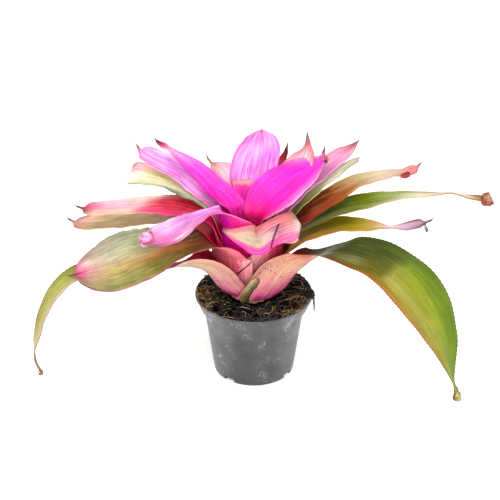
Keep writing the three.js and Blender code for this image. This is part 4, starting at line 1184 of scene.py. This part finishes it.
grow_leaf(
    "leaf_17", azimuth=-8, shell=2, clasp=(70, 56), spine=6, seed=17,
    blade=[
        (52, 0, 150, 20, 0, 25), (68, 0, 160, 18, 0, 20), (92, 0, 168, 17, 0, 20),
        (119, 0, 170, 11, 0, 15), (140, 0, 171, 3.5, 0, 5), (156, 0, 173, 8, 0, 10),
        (168, 0, 176, 9, 0, 10), (172, 0, 178, 4, 0, 0), (179, 0, 182, 0.8, 0, 0),
    ],
    inner=dict(lanes=[
        (0, ((0.25, "#cc8c28"), (0.5, "#b48424"), (0.7, "#c8b08c"), (0.85, "#b8a0b0"), (0.96, "#604858"),
             (1, "#301c20"))),
        (0.35, ((0.25, "#d09c1c"), (0.45, "#b48c24"), (0.6, "#98843c"), (0.72, "#ccb88c"),
                (0.8, "#e8d4d8"), (0.9, "#d0b4d0"), (0.965, "#8c7088"))),
        (0.7, ((0.25, "#b09420"), (0.42, "#988820"), (0.58, "#84802c"), (0.7, "#c0b080"),
               (0.8, "#dcc8cc"), (0.92, "#c0a4c0"))),
        (1, ((0.25, "#8c8030"), (0.42, "#7c7c1c"), (0.6, "#a89058"), (0.75, "#c8ac98"),
             (0.88, "#9c6c84"), (1, "#301c20"))),
    ], streak=("#c4ac68", 0.3), depth=0.98, dull=-0.26, foot_end=0.24),
)


# ---- Leaf 18 ---------------------------------------------------------------------------------
# The largest leaf, on the right: a salmon sheath at the front and a strap that arches over and
# hangs, dark olive near the heart and bright green beyond a tan band, with an orange-pink margin.

grow_leaf(
    "leaf_18", azimuth=-33, shell=0, clasp=(76, 76), sheath_rows=3, seed=18,
    blade=[
        (47.5, 0, 116, 52, -8, 62, 0.8), (56, 2, 128, 46, -14, 64, 0.3), (67, 5, 141, 29, -16, 42),
        (86, 5, 155, 19, -5, 18), (115, 3, 166, 21, 15, 10), (146, 0, 168, 23, 20, 5),
        (169, -4, 163, 24, 22, 5), (188, -6, 153, 25, 25, 5), (207, -7, 134, 23, 25, 5),
        (223, -6, 104, 15, 20, 5), (231, -5, 76, 6, 10, 5), (235, -3, 60, 1.5, 0, 0),
        (237, -2, 52, 4, 0, 0), (238, -2, 46, 0.8, 0, 0),
    ],
    inner=dict(lanes=[
        (0, ((0.2, "#c87858"), (0.35, "#a85c34"), (0.45, "#c87850"), (0.6, "#d8946c"), (0.8, "#c89070"),
             (0.95, "#90843c"), (1, "#5c4424"))),
        (0.06, ((0.2, "#a06c28"), (0.33, "#746c08"), (0.45, "#948018"), (0.58, "#c0a458"),
                (0.8, "#b0a458"), (0.92, "#94a050"))),
        # the pale grey tone at 0.41 along in the next lane is a painted sheen on the dark olive
        (0.22, ((0.2, "#787008"), (0.33, "#847c38"), (0.41, "#a09c78"), (0.48, "#8c8420"),
                (0.525, "#848014"), (0.555, "#c8c478"), (0.8, "#b8b458"))),
        (0.5, ((0.2, "#807818"), (0.33, "#5c6000"), (0.48, "#646c00"), (0.525, "#747408"),
               (0.555, "#b4b458"), (0.7, "#acb444"), (0.88, "#98a858"))),
        (0.8, ((0.2, "#747808"), (0.35, "#566000"), (0.5, "#606c00"), (0.545, "#708408"),
               (0.57, "#90a828"), (0.7, "#88a010"), (0.85, "#84a018"), (0.93, "#909c60"))),
        (1, ((0.2, "#808020"), (0.45, "#586400"), (0.6, "#708c00"), (0.85, "#80a020"), (0.95, "#94844c"),
             (1, "#5c4424"))),
    ], streak=("#c8cc8c", 0.18), wobble=0.03, depth=0.57, dull=-0.08, foot_end=0.22),
    outer=dict(lanes=[
        (0, ((0, "#b82c80"), (0.08, "#e0709c"), (0.14, "#e8a89c"), (0.2, "#e8a890"), (0.26, "#e8988c"),
             (0.36, "#e8947c"), (0.5, "#b0a060"))),
        (0.3, ((0, "#b02880"), (0.06, "#cc4090"), (0.11, "#e88ca0"), (0.17, "#e8bc9c"),
               (0.24, "#e8947c"), (0.3, "#e88474"), (0.36, "#dc8c70"), (0.42, "#98a04c"))),
        (0.65, ((0, "#b42c84"), (0.07, "#d8508c"), (0.12, "#e07c94"), (0.18, "#e8a08c"),
                (0.24, "#e87c74"), (0.3, "#e48c78"), (0.4, "#8c9c44"))),
        (1, ((0, "#b83080"), (0.1, "#e06488"), (0.18, "#f07c7c"), (0.28, "#e07c68"), (0.42, "#88983c"),
             (0.9, "#8ca448"))),
    ], streak=("#fae0c8", 0.3), specks=1, speck_zone=(0.08, 0.2), foot=None, mottled=0.25, depth=0.66),
)


# ---- Leaf 19 ---------------------------------------------------------------------------------
# The folded leaf at the front: a salmon lobe with painted pale highlights, whose blade turns back
# over the cup as a cream flap with a magenta band, with a painted shadow in the crease of the fold.


def rounded(points, t, s):
    """Rounds the tight fold, so that its inner margin doesn't pucker."""
    for _ in range(90):
        mean = 0.5 * points[1:-1] + 0.25 * (points[:-2] + points[2:])
        ease = np.clip((t[1:-1] - 0.2) / 0.1, 0, 1) * np.clip((0.8 - t[1:-1]) / 0.1, 0, 1)
        points[1:-1] += (ease * (0.3 + 0.7 * np.abs(s)))[..., None] * (mean - points[1:-1])
    return points


grow_leaf(
    "leaf_19", azimuth=-50, shell=5, clasp=(68, 36), ripple=0.2, shape=rounded, seed=19,
    blade=[
        (37.5, -1, 158, 11.5, 0, 0, 1), (43.5, 6, 166, 14, 20, 0, 0.4), (48.5, 12, 167.5, 24, 45, 25),
        (56.5, 18, 177, 28.5, 53, 27), (54.5, 14, 185, 24.5, 56, 24), (49.5, 1.5, 182, 19, 46, 27),
        (44, -13, 177.5, 15, 44, 19), (37, -19.5, 168, 15, 30, 22), (33, -28.5, 172, 12.5, 5, 11),
        (21.5, -38, 174.5, 6, -4, 0), (15.5, -47, 180.5, 1.5, 0, 0),
    ],
    inner=dict(lanes=[
        (0.0, ((0.2, "#e83080"), (0.45, "#f0a8a8"), (0.7, "#f0489c"), (0.9, "#f040b0"),
               (0.98, "#a06050"), (1.0, "#603428"))),
        (0.2, ((0.2, "#e02478"), (0.45, "#ecc0ac"), (0.6, "#f0c8b8"), (0.75, "#f060b0"),
               (0.9, "#f048b4"), (0.98, "#a06050"))),
        (0.5, ((0.2, "#d81c70"), (0.45, "#e89c98"), (0.6, "#eedac8"), (0.75, "#f0d8c8"),
               (0.9, "#ecc8b0"), (0.975, "#a87c60"))),
        (0.8, ((0.2, "#d81c70"), (0.5, "#ec98a0"), (0.65, "#ecc4b0"), (0.85, "#e8c0a0"), (0.97, "#98604c"))),
        (1.0, ((0.2, "#e05080"), (0.5, "#f09ca4"), (0.8, "#ec98a0"), (0.95, "#b07464"), (1.0, "#603428"))),
    ], streak=("#f8e8dc", 0.5)),
    # the pale cream tones about 0.52 to 0.57 along, in the lanes at 0.27 and 0.5, are painted highlights on
    # the lobe
    outer=dict(lanes=[
        (0, ((0, "#f080a4"), (0.25, "#fcb0b8"), (0.38, "#f88ca8"), (0.44, "#f04c84"), (0.52, "#f058a4"),
             (0.63, "#f070b4"), (0.71, "#e84c98"), (0.78, "#f040b0"), (0.9, "#f04cb4"), (1, "#8c4c44"))),
        (0.17, ((0, "#f07ca0"), (0.25, "#fcacb4"), (0.38, "#f47c9c"), (0.44, "#ec4c7c"),
                (0.5, "#f05c94"), (0.6, "#f088b4"), (0.69, "#e0609c"), (0.74, "#f040a8"),
                (0.9, "#f050b4"), (0.97, "#c88478"), (1, "#8c4c44"))),
        (0.27, ((0, "#f07098"), (0.25, "#fca0ac"), (0.38, "#f05c88"), (0.5, "#f08c9c"),
                (0.57, "#f0d0d0"), (0.64, "#f4a4b4"), (0.68, "#c47c98"), (0.72, "#d4aca8"),
                (0.8, "#ccb8a0"), (0.9, "#d0b49c"), (0.97, "#d8a890"), (1, "#7c4438"))),
        (0.5, ((0, "#f03c74"), (0.25, "#f05c84"), (0.44, "#e04878"), (0.52, "#d8c8b8"),
               (0.56, "#e8e0d8"), (0.6, "#f09ca0"), (0.655, "#e87c90"), (0.69, "#c07898"),
               (0.73, "#d4a4ac"), (0.8, "#c8b8a0"), (0.9, "#c8b49c"), (0.97, "#e0a098"), (1, "#7c2438"))),
        (0.7, ((0, "#ec2c6c"), (0.3, "#e83c70"), (0.46, "#d85c70"), (0.52, "#a89c70"), (0.57, "#c8a080"),
               (0.62, "#e88488"), (0.7, "#ec9098"), (0.76, "#e494a0"), (0.84, "#d4ac9c"),
               (0.92, "#d89c90"), (0.96, "#d87484"), (1, "#7c2438"))),
        (1, ((0, "#e82468"), (0.3, "#e83064"), (0.46, "#e05468"), (0.55, "#d86870"), (0.66, "#ec7c80"),
             (0.75, "#e47c88"), (0.86, "#e4808c"), (0.94, "#e86890"), (1, "#6c1c34"))),
    ], streak=("#fce8dc", 0.3), specks=1, speck_zone=(0.05, 0.3), foot=None, wobble=0.03, drift=0.04,
        mottled=0.2, depth=0.76, folds=[
            # the first line is a painted shadow in the crease where the blade turns back
            ((0.0, 0.76), (0.62, 0.658), 0.013, "#4c1430"),
            ((0.0, 0.46), (0.5, 0.43), 0.02, "#d82c74"),
        ]),
)


# ---- Leaf 20 ---------------------------------------------------------------------------------
# The deep magenta cup leaf at the back, short and upright, with a salmon rim. Its sheath lies
# just inside that of leaf 09.

grow_leaf(
    "leaf_20", azimuth=103, shell=13, clasp=(46, 44), seed=20,
    blade=[
        (24, 0, 176, 11, 0, 40, 0.5), (29, 0, 183, 12, 0, 35), (33, 0, 190, 11, 0, 35),
        (37, 0, 193, 9, 0, 20), (40, 0, 193, 4, 0, 0),
    ],
    inner=dict(lanes=[
        (0, ((0.3, "#ee0ca0"), (0.88, "#f048b8"), (0.94, "#f0a8a0"), (1, "#f0a090"))),
        (0.5, ((0.3, "#ea08a0"), (0.8, "#ea0cac"), (0.9, "#ec28b0"), (0.95, "#f4b0a4"), (1, "#f0a890"))),
        (1, ((0.3, "#ee0ca0"), (0.88, "#f048b8"), (0.94, "#f0a8a0"), (1, "#f0a090"))),
    ], streak=("#f860b8", 0.15), depth=0.84),
)


# ---- Leaf 21 ---------------------------------------------------------------------------------
# The leaf that wraps the cup at the front left in magenta, and leans out as a lilac strap with
# white streaks and a pink tip that has rolled up.

grow_leaf(
    "leaf_21", azimuth=203, shell=8, clasp=(54, 48), lean=25, seed=21,
    blade=[
        (26, 12, 176, 26, 0, 0, 1), (30, 7, 185, 20, 0, 0, 1), (36, 1, 187, 14, -10, 5, 0.7),
        (46, -1, 184.5, 16, -30, 12, 0.2), (61, -1, 179, 21.5, -42, 12), (83, -0.5, 169.5, 27, -46, 14),
        (98, -1.5, 165.5, 23.5, -48, 20), (108, -3, 165.5, 13, -45, 20), (113, -4, 165, 3, -40, 0),
    ],
    inner=dict(lanes=[
        (0, ((0.25, "#f8b0e0"), (0.5, "#f8d0f4"), (0.7, "#f098e0"), (0.9, "#f8d0ec"), (1, "#e08cb0"))),
        (0.3, ((0.25, "#f084dc"), (0.5, "#e45cd8"), (0.65, "#ec7ce0"), (0.8, "#f4b0e8"),
               (0.93, "#ee90c4"), (1, "#c86890"))),
        (0.65, ((0.25, "#f070d0"), (0.5, "#ec78d4"), (0.7, "#f0a0dc"), (0.85, "#ec60bc"),
                (0.95, "#e470ac"), (1, "#b85880"))),
        (0.9, ((0.25, "#f064b4"), (0.5, "#e858b4"), (0.7, "#ec80c4"), (0.8, "#f8d8e4"),
               (0.86, "#e454a4"), (1, "#a84870"))),
        (1, ((0.25, "#f064b0"), (0.5, "#ec50ac"), (0.7, "#e850a4"), (0.9, "#e45898"), (1, "#a84870"))),
    ], streak=("#fff4fc", 0.5), specks=0.5, speck_zone=(0.5, 0.8), mottled=0.25, depth=0.84),
    outer=dict(lanes=[
        (0.0, ((0.0, "#e81070"), (0.15, "#f018a8"), (0.35, "#f02cc0"), (0.5, "#f480d8"), (1.0, "#e080b0"))),
        (0.35, ((0.0, "#e41068"), (0.12, "#f410a0"), (0.24, "#f814c0"),
                (0.42, "#f41cc8"), (0.52, "#f468d8"), (1.0, "#e080b0"))),
        (0.7, ((0.0, "#e40c5c"), (0.15, "#f20c78"), (0.28, "#f80c84"),
               (0.42, "#f81498"), (0.52, "#f468c0"), (1.0, "#e080b0"))),
        (1.0, ((0.0, "#e00c58"), (0.2, "#f81070"), (0.38, "#f82884"), (0.5, "#f880b8"), (1.0, "#e080b0"))),
    ], streak=("#fc40d8", 0.3), specks=0.5, speck_zone=(0.3, 0.5), foot=None, depth=0.8),
)


# ---- Leaves 22 to 24 ------------------------------------------------------------------------
# Three green straps that fill the back of the rosette, where the cup hides them from the front.
# Each arches out and hangs, rosy along its margins and brown at its tip.

for number, azimuth, shell, clasp, slot, blade, near_margin, middle, far_margin, streak in (
    (22, 98, 0, (28, 28), "leaf_green", [
        (54, 0, 135, 20, 0, 20), (80, 0, 136, 22, 0, 20), (108, 0, 122, 21, 0, 15),
        (132, 0, 96, 16, 0, 10), (146, 0, 68, 8, 0, 5), (151, 0, 54, 0.8, 0, 0),
    ], ("#d88878", "#8c8c44", "#a89c5c"), ("#a07448", "#748028", "#8ca040", "#a4b068", "#b89080"),
        ("#d88878", "#848c3c", "#b09860"), "#c4c88c"),
    (23, 72, 1, (50, 38), "leaf_green", [
        (54, 0, 142, 20, 0, 25), (82, 0, 144, 21, 0, 20), (112, 0, 132, 20, 0, 15),
        (136, 0, 108, 15, 0, 10), (150, 0, 84, 7, 0, 5), (155, 0, 72, 0.8, 0, 0),
    ], ("#c87868", "#788434", "#a09050"), ("#8c6838", "#647820", "#7c9838", "#98a85c", "#b08870"),
        ("#c87868", "#74843c", "#a89058"), "#bcc484"),
    (24, 122, 2, (52, 38), "leaf_olive", [
        (54, 0, 146, 20, 0, 25), (80, 0, 150, 20, 0, 20), (106, 0, 140, 19, 0, 15),
        (128, 0, 118, 14, 0, 10), (141, 0, 96, 7, 0, 5), (146, 0, 84, 0.8, 0, 0),
    ], ("#d0806c", "#94904c", "#b0a068"), ("#986c40", "#888c38", "#a4a450", "#b4b070", "#c09088"),
        ("#d0806c", "#90904c", "#b8a070"), "#ccc890"),
):
    grow_leaf(
        "leaf_%02d" % number, azimuth=azimuth, shell=shell, clasp=clasp, seed=number,
        blade=blade,
        inner=dict(lanes=[
            (0.0, tuple(zip((0.2, 0.4, 0.8, 1.0), near_margin + ("#603428",)))),
            (0.5, tuple(zip((0.2, 0.35, 0.6, 0.85, 0.97, 1.0), middle + ("#603428",)))),
            (1.0, tuple(zip((0.2, 0.4, 0.8, 1.0), far_margin + ("#603428",)))),
        ], streak=(streak, 0.35)),
    )


# ---- Leaves 25 to 27 ------------------------------------------------------------------------
# The three innermost leaves, short magenta cones that stand round the growing point, each one
# inside the last.

for number, azimuth, shell, radius, height, widths in (
    (25, -70, 17, 9, 150, (8, 5)),
    (26, 168, 18, 7.5, 152, (7, 4)),
    (27, 50, 19, 6, 154, (6, 3.5)),
):
    margin = ((0.3, "#e02880"), (1.0, "#d82070"))
    grow_leaf(
        "leaf_%02d" % number, azimuth=azimuth, shell=shell, clasp=(55, 45), sheath_rows=3, seed=number,
        blade=[
            (radius, 0, height, widths[0], 0, 0, 1), (radius, 0, height + 7, widths[1], 0, 0, 1),
            (radius, 0, height + 12, 0.8, 0, 0, 1),
        ],
        inner=dict(lanes=[
            (0.0, margin),
            (0.5, ((0.3, "#d81468"), (0.8, "#ec1c98"), (1.0, "#c01858"))),
            (1.0, margin),
        ]),
    )


# ---- Dry bract ------------------------------------------------------------------------------
# The dry bract at the front, an olive-tan scale that clings to the outer sheaths, thin and
# streaked, and nearly black along one margin.

grow_leaf(
    "dry_bract", azimuth=-98, shell=-0.5, clasp=(6, 5), sheath_rows=3, seed=28,
    blade=[
        (47, 4, 113, 4.6, 0, 0, 1), (51, 9, 122, 4.8, 0, 0, 1), (53, 13, 130, 4, 0, 0, 1),
        (53.5, 14.5, 133, 1.5, 0, 0, 1),
    ],
    inner=dict(lanes=[
        (0, ((0, "#40301c"), (0.45, "#786c38"), (0.6, "#a89c60"), (1, "#c8bc90"))),
        (0.2, ((0, "#4c3c1c"), (0.5, "#a09058"), (0.8, "#a09c58"), (1, "#b8ac78"))),
        (0.55, ((0, "#34240f"), (0.45, "#685828"), (0.8, "#6c5c2c"), (1, "#887840"))),
        (1, ((0, "#241408"), (0.5, "#3c2c14"), (0.85, "#443018"), (1, "#4c3418"))),
    ], streak=("#b8a870", 0.5), specks=1, mottled=0.35, foot=None, depth=0.74),
)


# ---- Stuck crumbs ---------------------------------------------------------------------------
# Specks of wet peat that splashed up and dried on the sheaths at the front. Each is a flat crumb
# under three millimetres across, stuck where a straight line from the front meets a leaf.

AHEAD_OF_PLANT = -0.3
FRONT_OF_STEM = -0.02       # no crumb lies behind this
CRUMB_FLATNESS = 0.35

bpy.ops.object.select_all(action="DESELECT")
bpy.ops.mesh.primitive_ico_sphere_add(subdivisions=1, radius=0.001)
pattern_crumb = bpy.context.object
crumbs = []
for heart_x, heart_z, scatter, count in (
    (-16, 134, 4, 11), (-8, 146, 4, 9), (14, 139, 4, 9), (25, 148, 4, 6), (4, 143, 3, 4),
    (-24, 122, 8, 5), (20, 122, 8, 5), (-2, 150, 3, 3),
):
    for number in range(count):
        x, z = chance.gauss(heart_x, scatter) / 1000, chance.gauss(heart_z, scatter) / 1000
        hits = []
        for leaf_name in ("leaf_01_blade", "leaf_02_blade", "leaf_18_blade", "leaf_19_blade"):
            blade = bpy.data.objects[leaf_name]
            struck, spot, facing, _ = blade.ray_cast(Vector((x, AHEAD_OF_PLANT, z)), Vector((0, 1, 0)))
            if struck:
                hits.append((spot, facing))
        size = chance.uniform(0.3, 0.85)
        spot, facing = min(hits, key=lambda hit: hit[0].y, default=(None, None))
        if spot is None or spot.y > FRONT_OF_STEM:
            continue
        crumb = copied(pattern_crumb)
        crumb.location = spot
        crumb.rotation_euler = facing.to_track_quat("Z", "Y").to_euler()
        crumb.scale = (size, size * 1.3, CRUMB_FLATNESS)
        crumbs.append(crumb)
bpy.data.objects.remove(pattern_crumb)
join_all(crumbs, "stuck_crumbs", bark_brown)


# ---- Withered ends --------------------------------------------------------------------------
# Where the tip of a leaf has dried it has rolled up into a small hard knob, brown, dark red, lilac
# or pink, which still sits on the end of its blade. Most are turned in at one end like a cup.

CRUMPLE = 0.35              # how much a knob is dented and swollen, as a share of its size
CUP_EDGE, CUP_DEPTH = 0.4, 1.1      # where along the knob its end turns in, and how steeply

for leaf_number, middle, size, tilt, cupped, shades in (
    (1, (-217.0, -39.0, 15.5), (3.8, 3.0, 2.8), (0, 15, 20), True,
     ("#5c2c1c", "#a06848", "#c8a078", "#e8d0b0")),
    (12, (72.5, 41.5, 217.5), (7.5, 2.6, 2.6), (0, 50, 0), True,
     ("#400c18", "#782038", "#b05870", "#f0d8d0")),
    (15, (152.5, 25.5, 208.5), (7.5, 2.6, 2.8), (0, -8, 15), True,
     ("#40080c", "#78100c", "#98180c", "#a82c18")),
    (16, (234.0, 11.5, 188.5), (7.6, 6.6, 7.8), (0, -25, 5), True,
     ("#3c0c10", "#7c2428", "#8c4030", "#8c8448")),
    (17, (168.5, -25.5, 175.5), (9.5, 1.3, 1.7), (0, 68, 0), True,
     ("#3c2028", "#705060", "#988090", "#b8a0b0")),
    (18, (195.0, -131.0, 47.5), (6.2, 4.0, 4.0), (0, 95, 0), True,
     ("#4c2c1c", "#7c5c38", "#8c8040", "#b8a880")),
    (21, (-104.5, -39.0, 171.5), (8.0, 6.0, 6.0), (0, 115, 20), False,
     ("#983c70", "#d06ca0", "#e490b8", "#f0b0cc")),
):
    bpy.ops.object.select_all(action="DESELECT")
    bpy.ops.mesh.primitive_uv_sphere_add(segments=32, ring_count=20, radius=1)
    knob = bpy.context.object
    knob.name = "withered_end_%02d" % leaf_number
    for point in knob.data.vertices:
        crumple = noise.noise(point.co * 1.6 + Vector((leaf_number, 0, 0)))
        point.co *= 1 + CRUMPLE * crumple
        if cupped and point.co.x > CUP_EDGE:
            point.co.x -= CUP_DEPTH * (point.co.x - CUP_EDGE)
    knob.scale = [value / 1000 for value in size]
    knob.rotation_euler = [math.radians(value) for value in tilt]
    knob.location = [value / 1000 for value in middle]
    bpy.ops.object.transform_apply(location=True, rotation=True, scale=True)
    bpy.ops.object.shade_smooth()
    knob.data.materials.append(blotched(
        "withered end %02d" % leaf_number, tuple(zip((0.36, 0.46, 0.56, 0.68), shades)), 0.6,
        raised=(0.6, 0.0006), Scale=170, Detail=4))
    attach(knob, "root")
